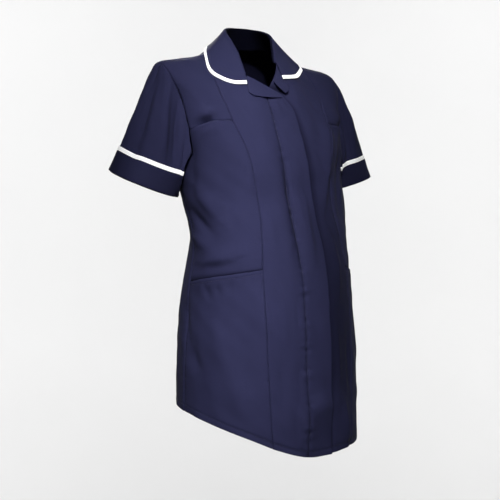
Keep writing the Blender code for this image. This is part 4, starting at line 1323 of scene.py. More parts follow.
@dataclass
class Bodice:
    """The tunic's body: fronts, fly band, yokes, side fronts, pockets and back."""

    plan: SeamPlan
    room: Workroom
    lines_at_seam: tuple = (0.0007, 0.0016, 0.0030)
    lines_by_stitch: float = 0.0015
    lines_at_mouth: tuple = (0.002, 0.004, 0.007)
    hem_depth: float = 0.0115
    layer_gap: float = 0.0004
    fly_rise: float = 0.0024
    # painted shadow: how dark the step beside the fly band and the cloth above the pocket mouths are
    # painted
    step_shade: float = 1.30
    # painted shadow beside the fly band's edge: height, how far it reaches there, and how much
    # trails on beyond it
    step_shades: Table = (
        (-0.720, 0.0080, 0.20),
        (-0.640, 0.0120, 0.45),
        (-0.580, 0.0210, 0.85),
        (-0.450, 0.0230, 0.92),
        (-0.320, 0.0210, 0.75),
        (-0.250, 0.0190, 0.30),
        (-0.190, 0.0180, 0.05),
        (-0.150, 0.0150, 0.02),
        (-0.090, 0.0090, 0.01),
    )
    step_fade: float = 0.090
    # height, and how dark the painted shade on the fold's flank beside the fly's stitching is there
    flank_shades: Table = (
        (-0.760, 0.10),
        (-0.560, 0.16),
        (-0.420, 0.22),
        (-0.350, 0.85),
        (-0.270, 0.90),
        (-0.200, 0.50),
        (-0.120, 0.05),
        (-0.050, 0.00),
    )
    flank_width: float = 0.0180
    # height, reach up and down, and how dark the painted shade on the fly band, growing towards its
    # free edge, is there
    band_shades: Table = (
        (-0.335, 0.060, 0.62),
        (-0.692, 0.026, 0.50),
        (-0.560, 0.050, 0.12),
    )
    # painted shade: how the band's patches grow towards its free edge, and a dark line painted along
    # that edge
    band_shade_power: float = 0.8
    band_edge_shade: float = 1.15
    band_edge_width: float = 0.0017
    step_sink: float = 0.0030
    step_reach: float = 0.0160
    # painted shadow above the pocket mouths: its reach at the princess seam and at the side seam
    mouth_width: tuple = (0.0030, 0.0085)
    mouth_power: float = 1.3
    near_gape: float = 0.0055
    far_gape: float = 0.0025
    gape_lean: float = 1.5
    # painted shade along the side seams under the arms
    side_shade: float = 1.15
    side_shade_power: float = 2.5
    side_level: float = -0.215
    side_reach: float = 0.070
    pocket_fade: float = 0.022
    tuck_ease: float = 0.25
    ease_width: float = 0.010
    hidden_margin: float = 0.034
    hidden_rows: int = 7
    hidden_power: float = 1.3
    mouth_stitch: float = 0.007
    dip_start: float = 0.031
    dip_end: float = 0.046
    dip_top: float = -0.058
    dip_fade: float = 0.010
    back_row_sag: float = 0.035
    sheets: dict = field(default_factory=dict)

    @property
    def tuck(self) -> float:
        """How far a covered layer lies behind the one that covers it."""
        return self.room.wall + 2.0 * self.layer_gap

    @property
    def hem(self) -> EdgeWork:
        """The hem's sewing."""
        return EdgeWork(EdgeKind.HEM, pucker=0.00045, pitch=0.0135, reach=0.0085, phase=0.4,
                        dip=0.0003, stitch_at=self.hem_depth)

    @property
    def seam(self) -> EdgeWork:
        """A plain seam's sewing."""
        return EdgeWork(EdgeKind.SEAM)

    @property
    def fly_line(self) -> EdgeWork:
        """The sewing of the fly's long stitched line."""
        return EdgeWork(EdgeKind.JOINED, pucker=0.0020, pitch=0.0185, reach=0.0110, phase=1.9,
                        dip=0.0018, dip_width=0.0026, shade_width=0.0026, shade_change=0.50)

    def _lines_to(self, at: float) -> tuple:
        """Return the distances that get a row of their own by an edge with stitches at one."""
        return self.lines_at_seam + (at - self.lines_by_stitch, at, at + self.lines_by_stitch)

    def _add(self, node: str, places: Array, rests_on: tuple, side: Side = Side.LEFT,
             **details: object) -> None:
        """Sew the panel of navy cloth that stands for a node, and keep it.

        Args:
            node: the CAD node's name.
            places: the panel's grid of places on the form.
            rests_on: the pieces that hold it; not used.
            side: the wearer's side, which sets the way that the grid runs.
            details: the panel's lift, painted shade and the sewing of its edges.
        """
        panel = Panel(self.plan.form, f"cloth_{node}", (node,), places, rests_on, side, **details)
        self.sheets[panel.name] = panel.sew(self.room, self.room.finishes.navy)

    def build(self) -> None:
        """Build every body panel."""
        self.front_centre_right()
        self.front_placket()
        self.front_centre_left()
        self.back()
        for side in Side:
            self.yoke(side)
            self.side_front(side)
            self.pocket(side)

    def front_centre_right(self) -> None:
        """Build the right centre front, from the princess seam to the fly's stitch line."""
        plan = self.plan
        inner = plan.right_inner()
        princess = plan.princess(Side.RIGHT)
        bottom = plan.hem_line(inner[0, 0], princess[0, 0], plan.centre_steps)
        s = spread(20, 0.072, self.lines_at_seam, self.lines_at_seam)
        t = spread(236, 0.80, self._lines_to(self.hem_depth), self.lines_at_seam)
        places = patch(inner, princess, bottom, plan.shoulder_seam(Side.RIGHT)[0], s, t)
        points = plan.form.cast(places)
        # painted shade on the fold's flank beside the fly's stitching
        flank = read_table(self.flank_shades, points[..., 2])
        self._add(
            "front_centre_right", places, ("cloth_back",), Side.RIGHT,
            shade=flank * bell(arc_lengths(points, 1), self.flank_width),
            first=self.fly_line, last=self.seam, bottom=self.hem, top=self.seam,
        )

    def front_placket(self) -> None:
        """Build the fly band over the concealed fastening."""
        plan = self.plan
        inner = plan.stitch_line()
        outer = plan.lap_edge()
        bottom = plan.hem_line(inner[0, 0], outer[0, 0], plan.centre_steps)
        top = straight(inner[-1], outer[-1], plan.centre_steps)
        s = spread(16, 0.055, self.lines_at_seam, self.lines_at_seam)
        t = spread(186, 0.68, self._lines_to(self.hem_depth))
        places = patch(inner, outer, bottom, top, s, t)
        edge = EdgeWork(EdgeKind.TURNED, pucker=0.00035, pitch=0.031, reach=0.012, phase=0.8,
                        dip=0.0005)
        points = plan.form.cast(places)
        across = arc_lengths(points, 1)
        # painted shade: a dark line along the band's free edge and darker patches towards it
        shade = self.band_edge_shade * bell(across[:, -1:] - across, self.band_edge_width)
        for height, reach, depth in self.band_shades:
            level = bell(points[..., 2] - height, reach)
            shade = shade + depth * level * s[None, :] ** self.band_shade_power
        self._add(
            "front_placket", places, ("cloth_front_centre_right",),
            lift=s[None, :] ** 3 * self.fly_rise, shade=shade,
            first=self.fly_line, last=edge, bottom=self.hem,
        )

    def front_centre_left(self) -> None:
        """Build the left centre front, which passes under the fly band."""
        plan = self.plan
        inner = plan.left_inner()
        princess = plan.princess(Side.LEFT)
        bottom = plan.hem_line(inner[0, 0], princess[0, 0], plan.centre_steps)
        s = spread(36, 0.120, (), self.lines_at_seam)
        t = spread(236, 0.80, self._lines_to(self.hem_depth), self.lines_at_seam)
        places = patch(inner, princess, bottom, plan.shoulder_seam(Side.LEFT)[0], s, t)
        points = plan.form.cast(places)
        ramp = np.clip((self.dip_end - points[..., 0]) / (self.dip_end - self.dip_start), 0.0, 1.0)
        ramp = ramp * ramp * (3.0 - 2.0 * ramp)
        below = np.clip((self.dip_top - points[..., 2]) / self.dip_fade, 0.0, 1.0)
        edge = read_table(plan.lap_curve, points[..., 2], index=0, by=1)
        beyond = np.clip(points[..., 0] - edge, 0.0, None)
        # painted shadow in the step beside the fly band's edge, trailing off away from it
        width, tail = (read_table(self.step_shades, points[..., 2], k) for k in (1, 2))
        near = np.exp(-((beyond / width) ** 3))
        shade = self.step_shade * np.maximum(near, tail * np.exp(-beyond / self.step_fade)) * below
        sink = self.step_sink * bell(beyond, self.step_reach) * below
        self._add(
            "front_centre_left", places, ("cloth_back",),
            lift=-self.tuck * ramp * below - sink, shade=shade,
            last=self.seam, bottom=self.hem, top=self.seam,
        )

    def yoke(self, side: Side) -> None:
        """Build one upper side front, from the bust seam to the shoulder."""
        plan = self.plan
        princess = plan.princess(side)[plan.bust_row:]
        armhole = plan.front_armhole(side)[plan.rows_to_bust:]
        s = spread(26, 0.085, self.lines_at_seam, self.lines_at_seam)
        t = spread(44, 0.15, self.lines_at_seam, self.lines_at_seam)
        places = patch(princess, armhole, plan.bust_seam(side), plan.shoulder_seam(side)[1], s, t)
        gathered = EdgeWork(EdgeKind.SEAM, pucker=0.0005, pitch=0.014, reach=0.012, phase=2.7)
        self._add(
            f"front_yoke_{side.label}", places, ("cloth_back",), side,
            first=self.seam, last=self.seam, bottom=gathered, top=self.seam,
        )

    def side_front(self, side: Side) -> None:
        """Build one side front, from the bust seam to just behind the pocket mouth."""
        plan = self.plan
        princess = plan.princess(side)[plan.rows_to_mouth:plan.bust_row + 1]
        outer = chain(
            plan.side_seam(side)[plan.rows_to_mouth:],
            plan.front_armhole(side)[:plan.rows_to_bust + 1],
        )
        mouth = plan.mouth(side)
        split = plan.rows_to_underarm
        underarm = straight(princess[split], outer[split], plan.side_steps)
        s = spread(28, 0.100, self.lines_at_seam, self.lines_at_seam)
        low = patch(princess[:split + 1], outer[:split + 1], mouth, underarm, s,
                    spread(56, 0.18, self.lines_at_mouth))
        high = patch(princess[split:], outer[split:], underarm, plan.bust_seam(side), s,
                     spread(26, 0.09, (), self.lines_at_seam))
        depths = self.hidden_margin * np.linspace(1.0, 0.0, self.hidden_rows) ** self.hidden_power
        hidden = low[0][None] - np.stack([np.zeros(self.hidden_rows), depths], axis=-1)[:, None]
        places = chain(hidden, low, high)
        below = places[..., 1] - low[0, :, 1][None]
        sunk = np.where(below <= 0.0, 1.0, self.tuck_ease * bell(below, self.ease_width))
        # painted shadow above the pocket mouth, wider towards the side seam
        narrow, wide = self.mouth_width
        reach = narrow + (wide - narrow) * s[None, :] ** self.mouth_power
        shade = self.step_shade * bell(np.clip(below, 0.0, None), reach)
        # painted shade along the side seam under the arm
        level = bell(places[..., 1] - self.side_level, self.side_reach)
        shade = shade + self.side_shade * s[None, :] ** self.side_shade_power * level
        gathered = EdgeWork(EdgeKind.SEAM, pucker=0.0008, pitch=0.013, reach=0.014, phase=2.7)
        self._add(
            f"front_side_{side.label}", places, (f"cloth_front_yoke_{side.label}",), side,
            lift=-self.tuck * sunk, shade=shade, first=self.seam, last=self.seam, top=gathered,
        )

    def pocket(self, side: Side) -> None:
        """Build one lower side front, whose upper edge is the gaping pocket mouth."""
        plan = self.plan
        princess = plan.princess(side)[:plan.rows_to_mouth + 1]
        outer = plan.side_seam(side)[:plan.rows_to_mouth + 1]
        bottom = plan.hem_line(princess[0, 0], outer[0, 0], plan.side_steps)
        s = spread(30, 0.100, self.lines_at_seam, self.lines_at_seam)
        t = spread(84, 0.29, self._lines_to(self.hem_depth), self._lines_to(self.mouth_stitch))
        places = patch(princess, outer, bottom, plan.mouth(side), s, t)
        below = places[-1:, :, 1] - places[..., 1]
        across = np.sin(math.pi * s ** self.gape_lean)[None, :]
        opening = self.near_gape if side is Side.RIGHT else self.far_gape
        edge = EdgeWork(EdgeKind.TURNED, pucker=0.0010, pitch=0.015, reach=0.012, phase=1.1,
                        dip=0.0004, stitch_at=self.mouth_stitch, groove=0.0003, groove_shade=0.12)
        self._add(
            f"pocket_{side.label}", places, ("cloth_back",), side,
            lift=opening * across * bell(below, self.pocket_fade),
            first=self.seam, last=self.seam, bottom=self.hem, top=edge,
        )

    def back(self) -> None:
        """Build the back in one panel, side seam to side seam and hem to shoulders."""
        plan = self.plan
        turn = np.array([FULL_TURN, 0.0])
        left = chain(plan.side_seam(Side.LEFT), plan.back_armhole(Side.LEFT))
        right = chain(plan.side_seam(Side.RIGHT), plan.back_armhole(Side.RIGHT)) + turn
        inner_left, outer_left = plan.shoulder_seam(Side.LEFT)
        inner_right, outer_right = plan.shoulder_seam(Side.RIGHT)
        neck = plan.form.place(spline(plan.back_neck[::-1], plan.neck_steps))
        top = chain(outer_left[::-1], inner_left[::-1], neck, inner_right, outer_right)
        top[top[:, 0] < 0.0] += turn
        angles = np.linspace(left[0, 0], right[0, 0], len(top))
        bottom = np.stack([angles, plan.hem_height(angles)], axis=-1)
        middle = bottom.copy()
        sag = np.sin(math.pi * np.linspace(0.0, 1.0, len(middle)))
        middle[:, 1] = left[plan.underarm_row, 1] - self.back_row_sag * sag
        s = spread(136, 0.50, self.lines_at_seam, self.lines_at_seam)
        split = plan.underarm_row + 1
        low = patch(left[:split], right[:split], bottom, middle, s,
                    spread(132, 0.45, self._lines_to(self.hem_depth)))
        high = patch(left[split - 1:], right[split - 1:], middle, top, s,
                     spread(72, 0.24, (), self.lines_at_seam))
        self._add(
            "back", chain(low, high), ("cloth_front_yoke_left", "cloth_front_yoke_right"),
            first=self.seam, last=self.seam, bottom=self.hem, top=self.seam,
        )


@dataclass
class Sleeve:
    """One short set-in sleeve with its turned-up cuff and the white trim above the cuff."""

    plan: SeamPlan
    room: Workroom
    side: Side
    cuff_centre: tuple = (0.2355, -0.011, -0.2447)
    cuff_outer: tuple = (0.0635, 0.000, 0.0175)
    cuff_front_right: tuple = (0.0040, 0.0550, -0.0160)
    cuff_front_left: tuple = (0.0040, 0.0550, 0.0050)
    # place round the armhole in degrees from the top, then out, forward and up
    start_runs: Table = (
        (0.0, 0.028, 0.000, -0.041),
        (90.0, 0.070, 0.016, -0.080),
        (180.0, 0.045, 0.000, -0.032),
        (270.0, 0.070, -0.016, -0.080),
        (360.0, 0.028, 0.000, -0.041),
    )
    end_run: tuple = (0.095, 0.0, -0.150)
    cuff_depth: float = 0.040
    trim_gap: float = 0.0008
    trim_width: float = 0.0075
    layer_gap: float = 0.0004
    seam_gap_share: float = 0.0022
    samples: int = 90
    sleeve_rows: int = 44
    sleeve_length: float = 0.14
    lines_at_seam: tuple = (0.0012, 0.0026, 0.0045)
    cuff_rows: int = 13
    cuff_edge_line: float = 0.0007
    trim_rows: int = 5
    ring_samples: int = 208
    # how far the cloth runs round the armhole and round the cuff in one degree
    armhole_pace: float = 0.0012
    cuff_pace: float = 0.0011
    # how the trim swells in the middle and sinks, how the cuff sinks at its rims and ripples
    trim_swell: float = 0.0004
    trim_sink: float = 0.0003
    rim_sink: float = 0.0004
    rim_width: float = 0.0012
    cuff_ripple: float = 0.00018
    cuff_pitch: float = 0.021
    cuff_phase: float = 0.3
    ease_phase: float = 0.9
    # keeps the two sleeves' unevenness from matching
    sides_apart: float = 0.5
    fold_fade: float = 0.07
    fold_end_share: float = 0.35
    # painted shade: the cuff is darkened all round, less about its crown at cuff_crown degrees
    cuff_shade: float = 0.60
    cuff_crown: float = 44.0
    cuff_crown_width: float = 34.0
    # degrees round and share of the length of both ends, half width in degrees, depth, lean
    folds: Table = (
        (62.0, 0.08, 78.0, 0.68, 12.0, 0.0080, 0.50),
        (86.0, 0.06, 102.0, 0.66, 9.0, -0.0062, 0.00),
        (112.0, 0.08, 124.0, 0.70, 10.0, 0.0036, 0.00),
        (140.0, 0.16, 148.0, 0.85, 10.0, -0.0045, 0.00),
        (40.0, 0.30, 50.0, 0.90, 15.0, 0.0034, -0.30),
        (18.0, 0.18, 30.0, 0.90, 13.0, -0.0050, 0.30),
        (352.0, 0.30, 350.0, 0.90, 14.0, 0.0036, 0.00),
        (232.0, 0.10, 220.0, 0.85, 12.0, -0.0060, 0.30),
        (268.0, 0.08, 262.0, 0.90, 12.0, 0.0044, -0.30),
        (300.0, 0.15, 302.0, 0.90, 12.0, -0.0048, 0.00),
    )

    @property
    def trim_top(self) -> float:
        """How far the trim's upper edge lies from the sleeve's end."""
        return self.cuff_depth + self.trim_gap + self.trim_width

    @property
    def cuff_rise(self) -> float:
        """How far the cuff lies off the sleeve's own surface."""
        return self.room.wall + 2.0 * self.layer_gap

    def build(self) -> dict:
        """Build the sleeve, its cuff and its trim, and return the sheets by name."""
        side = self.side
        lines, degrees = self._lines()
        turned = side is Side.RIGHT
        finishes = self.room.finishes
        label = side.label
        upper = spread(self.sleeve_rows, self.sleeve_length, self.lines_at_seam)
        cuff = np.linspace(self.cuff_depth, 0.0, self.cuff_rows + 1)
        edge = np.array([self.cuff_edge_line])
        cuff = np.sort(np.concatenate([cuff, self.cuff_depth - edge, edge]))[::-1]
        trim = np.linspace(self.trim_top, self.cuff_depth + self.trim_gap, self.trim_rows + 1)
        sheets = {}
        grid, shares, away = self._surface(lines, upper, cuff)
        from_seam, arc = self._from_seam(degrees, shares, away)
        lift = self._relief(degrees, shares, away)
        # painted shade in the ditch of the armhole seam
        sheets["sleeve"] = self.room.sheet(
            f"cloth_sleeve_{label}", (f"sleeve_{label}",), self._lifted(grid, lift),
            finishes.navy, ("cloth_back",), closed=True, turned=turned,
            ditch=self._ease().ditch(from_seam, arc),
        )
        grid, shares, away = self._surface(lines, np.array([]), trim)
        across = (away - trim[-1]) / self.trim_width
        lift = self.cuff_rise + self._drape(degrees, shares)
        swell = self.trim_swell * np.sin(math.pi * np.clip(across, 0.0, 1.0))
        lift = lift + swell - self.trim_sink
        sheets["trim"] = self.room.cut(
            f"cloth_cuff_trim_{label}", (f"cuff_trim_{label}",), self._lifted(grid, lift),
            finishes.white, closed=True, turned=turned,
        )
        grid, shares, away = self._surface(lines, np.array([]), cuff)
        fold = self._drape(degrees, shares)
        rim = np.minimum(away, self.cuff_depth - away)
        lift = self.cuff_rise + fold - self.rim_sink * bell(rim, self.rim_width)
        around = degrees * self.cuff_pace
        ripple = uneven_wave(around, self.cuff_pitch, self.cuff_phase + side.value)
        lift = lift + self.cuff_ripple * ripple
        # painted shade on the cuff, lighter about its crown
        off_crown = wrap(degrees - self.cuff_crown)
        shade = self.cuff_shade * (1.0 - bell(off_crown, self.cuff_crown_width))
        sheets["cuff"] = self.room.sheet(
            f"cloth_cuff_{label}", (f"cuff_{label}",), self._lifted(grid, lift),
            finishes.navy, (f"cloth_sleeve_{label}",), closed=True, turned=turned, held="folded",
            trims=(sheets["trim"],), ditch=np.broadcast_to(shade, lift.shape),
        )
        return sheets

    def _ring(self) -> tuple[Array, Array]:
        """Return the armhole's points from the top, front first, and each one's degrees."""
        plan = self.plan
        front = plan.front_armhole(Side.LEFT)[::-1]
        back = plan.back_armhole(Side.LEFT)
        half = self.ring_samples // 2
        share = np.linspace(0.0, 1.0, half + 1)
        places = chain(resample(front, share), resample(back, share))[:-1]
        degrees = np.arange(2 * half) * 180.0 / half
        low = (1.0 - np.cos(np.radians(degrees))) / 2.0
        lift = low * 2.0 * (self.room.wall + self.layer_gap)
        return plan.form.spots(places, lift + plan.form.drape(places)), degrees

    def _lines(self) -> tuple[Array, Array]:
        """Return lines from the armhole to the sleeve's end, as for the wearer's left side."""
        ring, degrees = self._ring()
        radians = np.radians(degrees)
        front = self.cuff_front_left if self.side is Side.LEFT else self.cuff_front_right
        end = (
            np.array(self.cuff_centre)
            + np.cos(radians)[:, None] * np.array(self.cuff_outer)
            + np.sin(radians)[:, None] * np.array(front)
        )
        start_run = np.stack([read_table(self.start_runs, degrees, k) for k in (1, 2, 3)], axis=-1)
        span = np.linalg.norm(end - ring, axis=-1)[:, None]
        end_run = np.array(self.end_run) * span / span.max()
        t = np.linspace(0.0, 1.0, self.samples)[:, None, None]
        lines = (
            (1 + 2 * t) * (1 - t) ** 2 * ring + t * (1 - t) ** 2 * start_run
            + t * t * (3 - 2 * t) * end + t * t * (t - 1) * end_run
        )
        return lines, degrees

    def _surface(self, lines: Array, upper: Array, lower: Array) -> tuple[Array, Array, Array]:
        """Return rows of plain sleeve points, with their shares and distances from the end.

        Args:
            lines: the lines from the armhole to the end.
            upper: shares of the way from the armhole to the trim's top.
            lower: distances up from the sleeve's end.

        Returns:
            Points, shares of the whole length, and distances from the end.
        """
        lengths = arc_lengths(lines, 0)
        total = lengths[-1]
        start = self.seam_gap_share * (total - self.trim_top)
        places = [start + share * (total - self.trim_top - start) for share in upper]
        places += [total - distance for distance in lower]
        places = np.array(places)
        points = np.empty(places.shape + (3,))
        for k in range(lines.shape[1]):
            points[:, k] = along_curve(places[:, k], lengths[:, k], lines[:, k])
        return points, places / total, total - places

    def _drape(self, degrees: Array, share: Array) -> Array:
        """Return how far the sleeve's folds move the cloth out."""
        moved = np.zeros_like(share)
        for from_angle, from_share, to_angle, to_share, width, depth, lean in self.folds:
            along = np.clip((share - from_share) / (to_share - from_share), 0.0, 1.0)
            middle = from_angle + (to_angle - from_angle) * along
            beyond = share - (from_share + (to_share - from_share) * along)
            swell = self.fold_end_share + (1.0 - self.fold_end_share) * np.sin(math.pi * along)
            inside = bell(beyond, self.fold_fade)
            turned = wrap(degrees - middle)
            half = width * (1.0 - lean * np.sign(turned))
            moved += depth * swell * inside * bell(turned, half)
        return moved

    def _ease(self) -> EdgeWork:
        """Return the sewing of the sleeve's eased edge at the armhole."""
        return EdgeWork(EdgeKind.SEAM, pucker=0.00055, pitch=0.0135, reach=0.013,
                        phase=self.ease_phase + self.side.value)

    def _from_seam(self, degrees: Array, share: Array, away: Array) -> tuple[Array, Array]:
        """Return each point's distance from the armhole seam and its place along it."""
        total = away / np.maximum(1.0 - share, 1e-6)
        distance = np.where(share < 0.999, share * total, total)
        return distance, np.broadcast_to(degrees * self.armhole_pace, share.shape)

    def _relief(self, degrees: Array, share: Array, away: Array) -> Array:
        """Return the sleeve's folds with the ease at the armhole and its small unevenness."""
        from_seam, arc = self._from_seam(degrees, share, away)
        spots = np.stack([arc, away + self.sides_apart * self.side.value], axis=-1)
        return (
            self._drape(degrees, share) + self._ease().relief(from_seam, arc)
            + self.plan.form.uneven(spots)
        )

    def _lifted(self, grid: Array, lift: Array) -> Array:
        """Return a ring grid moved out by lift, on the sleeve's own side."""
        around = np.roll(grid, -1, axis=1) - np.roll(grid, 1, axis=1)
        along = np.gradient(grid, axis=0)
        lifted = grid + unit(np.cross(along, around)) * lift[..., None]
        return lifted * np.array([self.side.value, 1.0, 1.0])


@dataclass
class Collar:
    """The collar: a stand inside the neckline, folded over into a rounded fall with a trim."""

    plan: SeamPlan
    room: Workroom
    wall: float = 0.0015
    # share, then out, forward and height of the roll line and of the outer edge
    outline: Table = (
        (0.00, -0.0595, 0.0590, -0.0450, -0.0640, 0.0690, -0.0660),
        (0.06, -0.0580, 0.0450, -0.0260, -0.0880, 0.0600, -0.0665),
        (0.13, -0.0560, 0.0300, -0.0040, -0.1060, 0.0480, -0.0625),
        (0.21, -0.0530, 0.0090, 0.0170, -0.1180, 0.0340, -0.0505),
        (0.30, -0.0480, -0.0140, 0.0350, -0.1080, 0.0030, -0.0165),
        (0.38, -0.0340, -0.0340, 0.0450, -0.0700, -0.0425, 0.0010),
        (0.44, -0.0180, -0.0445, 0.0490, -0.0400, -0.0670, -0.0120),
        (0.50, 0.0000, -0.0480, 0.0500, 0.0000, -0.0750, -0.0200),
        (0.56, 0.0180, -0.0445, 0.0500, 0.0400, -0.0670, -0.0120),
        (0.62, 0.0330, -0.0340, 0.0480, 0.0700, -0.0425, 0.0010),
        (0.70, 0.0410, -0.0080, 0.0420, 0.1080, 0.0030, -0.0165),
        (0.79, 0.0410, 0.0130, 0.0310, 0.1080, 0.0200, -0.0270),
        (0.87, 0.0340, 0.0280, 0.0090, 0.0950, 0.0330, -0.0360),
        (0.94, 0.0290, 0.0380, -0.0080, 0.0600, 0.0580, -0.0500),
        (1.00, 0.0245, 0.0460, -0.0200, 0.0230, 0.0650, -0.0540),
    )
    rise: float = 0.0026
    blend: float = 0.006
    fold: float = 0.0045
    # painted shade on the stand that lies inside the neck
    inner_shade: float = 1.66
    # how the painted shade fades over the fold: its strength at the start, and how fast it falls
    fade_start: float = 1.6
    fade_fall: float = 3.6
    arch: float = -0.0015
    arch_width: float = 0.08
    arch_forward: float = 0.02
    arch_rise: float = 0.05
    fold_width_limit: float = 0.45
    fold_reach: float = 1.2
    fold_height: float = 0.55
    trim_width: float = 0.0075
    trim_gap: float = 0.0003
    neck_clearance: float = 0.0010
    stations: int = 190
    stand_rows: int = 9
    fold_rows: int = 9
    fall_rows: int = 26
    trim_rows: int = 6

    def _line(self, first: int, shares: Array) -> Array:
        """Return three neighbouring columns of the outline at the given shares."""
        return np.stack([read_table(self.outline, shares, first + k) for k in range(3)], axis=-1)

    def _fall(self, shares: Array, across: Array) -> Array:
        """Return points of the fall, across from 0 at the roll to 1 at the outer edge."""
        form = self.plan.form
        roll = self._line(1, shares)
        rise = np.full(len(shares), self.rise)
        edge = form.spots(form.place(self._line(4, shares)), rise)
        straight_point = roll + (edge - roll) * across[:, None]
        outward = edge + np.array([0.0, self.arch_forward, 0.0])
        outward[:, 2] = self.arch_rise
        width = np.linalg.norm(edge - roll, axis=-1)
        arch = self.arch * np.sin(math.pi * across) * width / self.arch_width
        point = straight_point + unit(outward) * arch[:, None]
        floor = form.spots(form.place(point), rise)
        level = form.chest_level
        centre = np.array([0.0, float(form.section(4, np.array(level))), level])
        low = np.linalg.norm(floor - centre, axis=-1)
        high = np.linalg.norm(point - centre, axis=-1)
        reach = soft_maximum(low, high, self.blend)
        return centre + (point - centre) * (reach / high)[:, None]

    def build(self) -> dict:
        """Build the collar and its trim, and return the sheets by name."""
        form = self.plan.form
        shares = np.linspace(0.0, 1.0, self.stations + 1)
        places = self.plan.neckline(self.stations) + np.array([0.0, self.neck_clearance])
        base = form.spots(places, form.drape(places))
        roll = self._line(1, shares)
        edge = self._line(4, shares)
        width = np.linalg.norm(edge - roll, axis=-1)
        outward = edge - roll
        outward[:, 2] = 0.0
        stand_top = roll - unit(outward) * self.fold
        rows = [base + (stand_top - base) * k / self.stand_rows for k in range(self.stand_rows)]
        start = np.minimum(self.fold_width_limit, self.fold_reach * self.fold / width)
        first_fall = self._fall(shares, start)
        for k in range(self.fold_rows + 1):
            share = k / self.fold_rows
            lift = self.fold * self.fold_height * math.sin(math.pi * share)
            rows.append(stand_top * (1 - share) + first_fall * share + np.array([0.0, 0.0, lift]))
        end = 1.0 - (self.trim_width + self.trim_gap) / width
        for k in range(1, self.fall_rows + 1):
            rows.append(self._fall(shares, start + (end - start) * k / self.fall_rows))
        grid = np.array(rows)
        finishes = self.room.finishes
        rows = []
        for k in range(self.trim_rows + 1):
            share = 1.0 - k / self.trim_rows
            rows.append(self._fall(shares, 1.0 - share * self.trim_width / width))
        # painted shade: the stand inside the neck is darkened, fading out over the fold
        shade = np.zeros(grid.shape[:2])
        across = np.linspace(0.0, 1.0, self.fold_rows)
        fade = np.clip(self.fade_start - self.fade_fall * across, 0.0, 1.0)
        shade[:self.stand_rows] = self.inner_shade
        shade[self.stand_rows:self.stand_rows + self.fold_rows] = self.inner_shade * fade[:, None]
        trim = self.room.cut(
            "cloth_collar_trim", ("collar_trim",), np.array(rows), finishes.white, self.wall,
        )
        collar = self.room.sheet(
            "cloth_collar", ("collar",), grid, finishes.navy, ("cloth_back",), self.wall,
            held="folded", trims=(trim,), ditch=shade,
        )
        return {"collar": collar, "trim": trim}


@dataclass
class Lapels:
    """The two small lapels, turned back over the fronts from their roll lines."""

    plan: SeamPlan
    room: Workroom
    rise: float = 0.0022
    swell: float = 0.0010
    rows: int = 40
    # out and height of the roll line, of a place part way across and of the outer edge
    right: Table = (
        (-0.0580, -0.0500, -0.0622, -0.0700, -0.0655, -0.0810),
        (-0.0450, -0.0565, -0.0520, -0.0740, -0.0565, -0.0868),
        (-0.0200, -0.0695, -0.0250, -0.0810, -0.0290, -0.0893),
        (0.0065, -0.0832, 0.0052, -0.0855, 0.0040, -0.0880),
    )
    left: Table = (
        (0.0185, -0.0320, 0.0203, -0.0585, 0.0298, -0.0645),
        (0.0115, -0.0410, 0.0175, -0.0625, 0.0292, -0.0698),
        (0.0045, -0.0505, 0.0120, -0.0665, 0.0248, -0.0745),
        (-0.0030, -0.0600, 0.0060, -0.0705, 0.0170, -0.0785),
    )
    steps_to_middle: int = 8
    steps_to_edge: int = 5

    def build(self) -> None:
        """Build both lapels."""
        self._one(Side.RIGHT, self.right, True, "cloth_front_placket")
        self._one(Side.LEFT, self.left, False, "cloth_front_centre_left")

    def _one(self, side: Side, table: Table, turned: bool, under: str) -> None:
        """Build one lapel.

        Args:
            side: the wearer's side.
            table: its outline.
            turned: whether its grid runs the other way round.
            under: the piece that it lies on; not used.
        """
        form = self.plan.form
        at = np.linspace(0.0, 1.0, self.rows + 1)
        places = np.linspace(0.0, 1.0, len(table))
        values = [smooth_lookup(at, places, column(table, k)) for k in range(6)]
        roll = form.place_on_front(values[0], values[1])
        middle = form.place_on_front(values[2], values[3])
        edge = form.place_on_front(values[4], values[5])
        near = [roll + (middle - roll) * k / self.steps_to_middle
                for k in range(self.steps_to_middle)]
        far = [middle + (edge - middle) * k / self.steps_to_edge
               for k in range(self.steps_to_edge + 1)]
        grid = np.array(near + far)
        across = np.linspace(0.0, 1.0, len(grid))[:, None]
        lift = self.rise + self.swell * across * np.sin(math.pi * at)[None, :]
        points = form.spots(grid, np.broadcast_to(lift, grid.shape[:2]))
        self.room.sheet(
            f"cloth_lapel_{side.label}", (f"lapel_{side.label}",), points,
            self.room.finishes.navy, (under,), turned=turned, held="folded",
        )


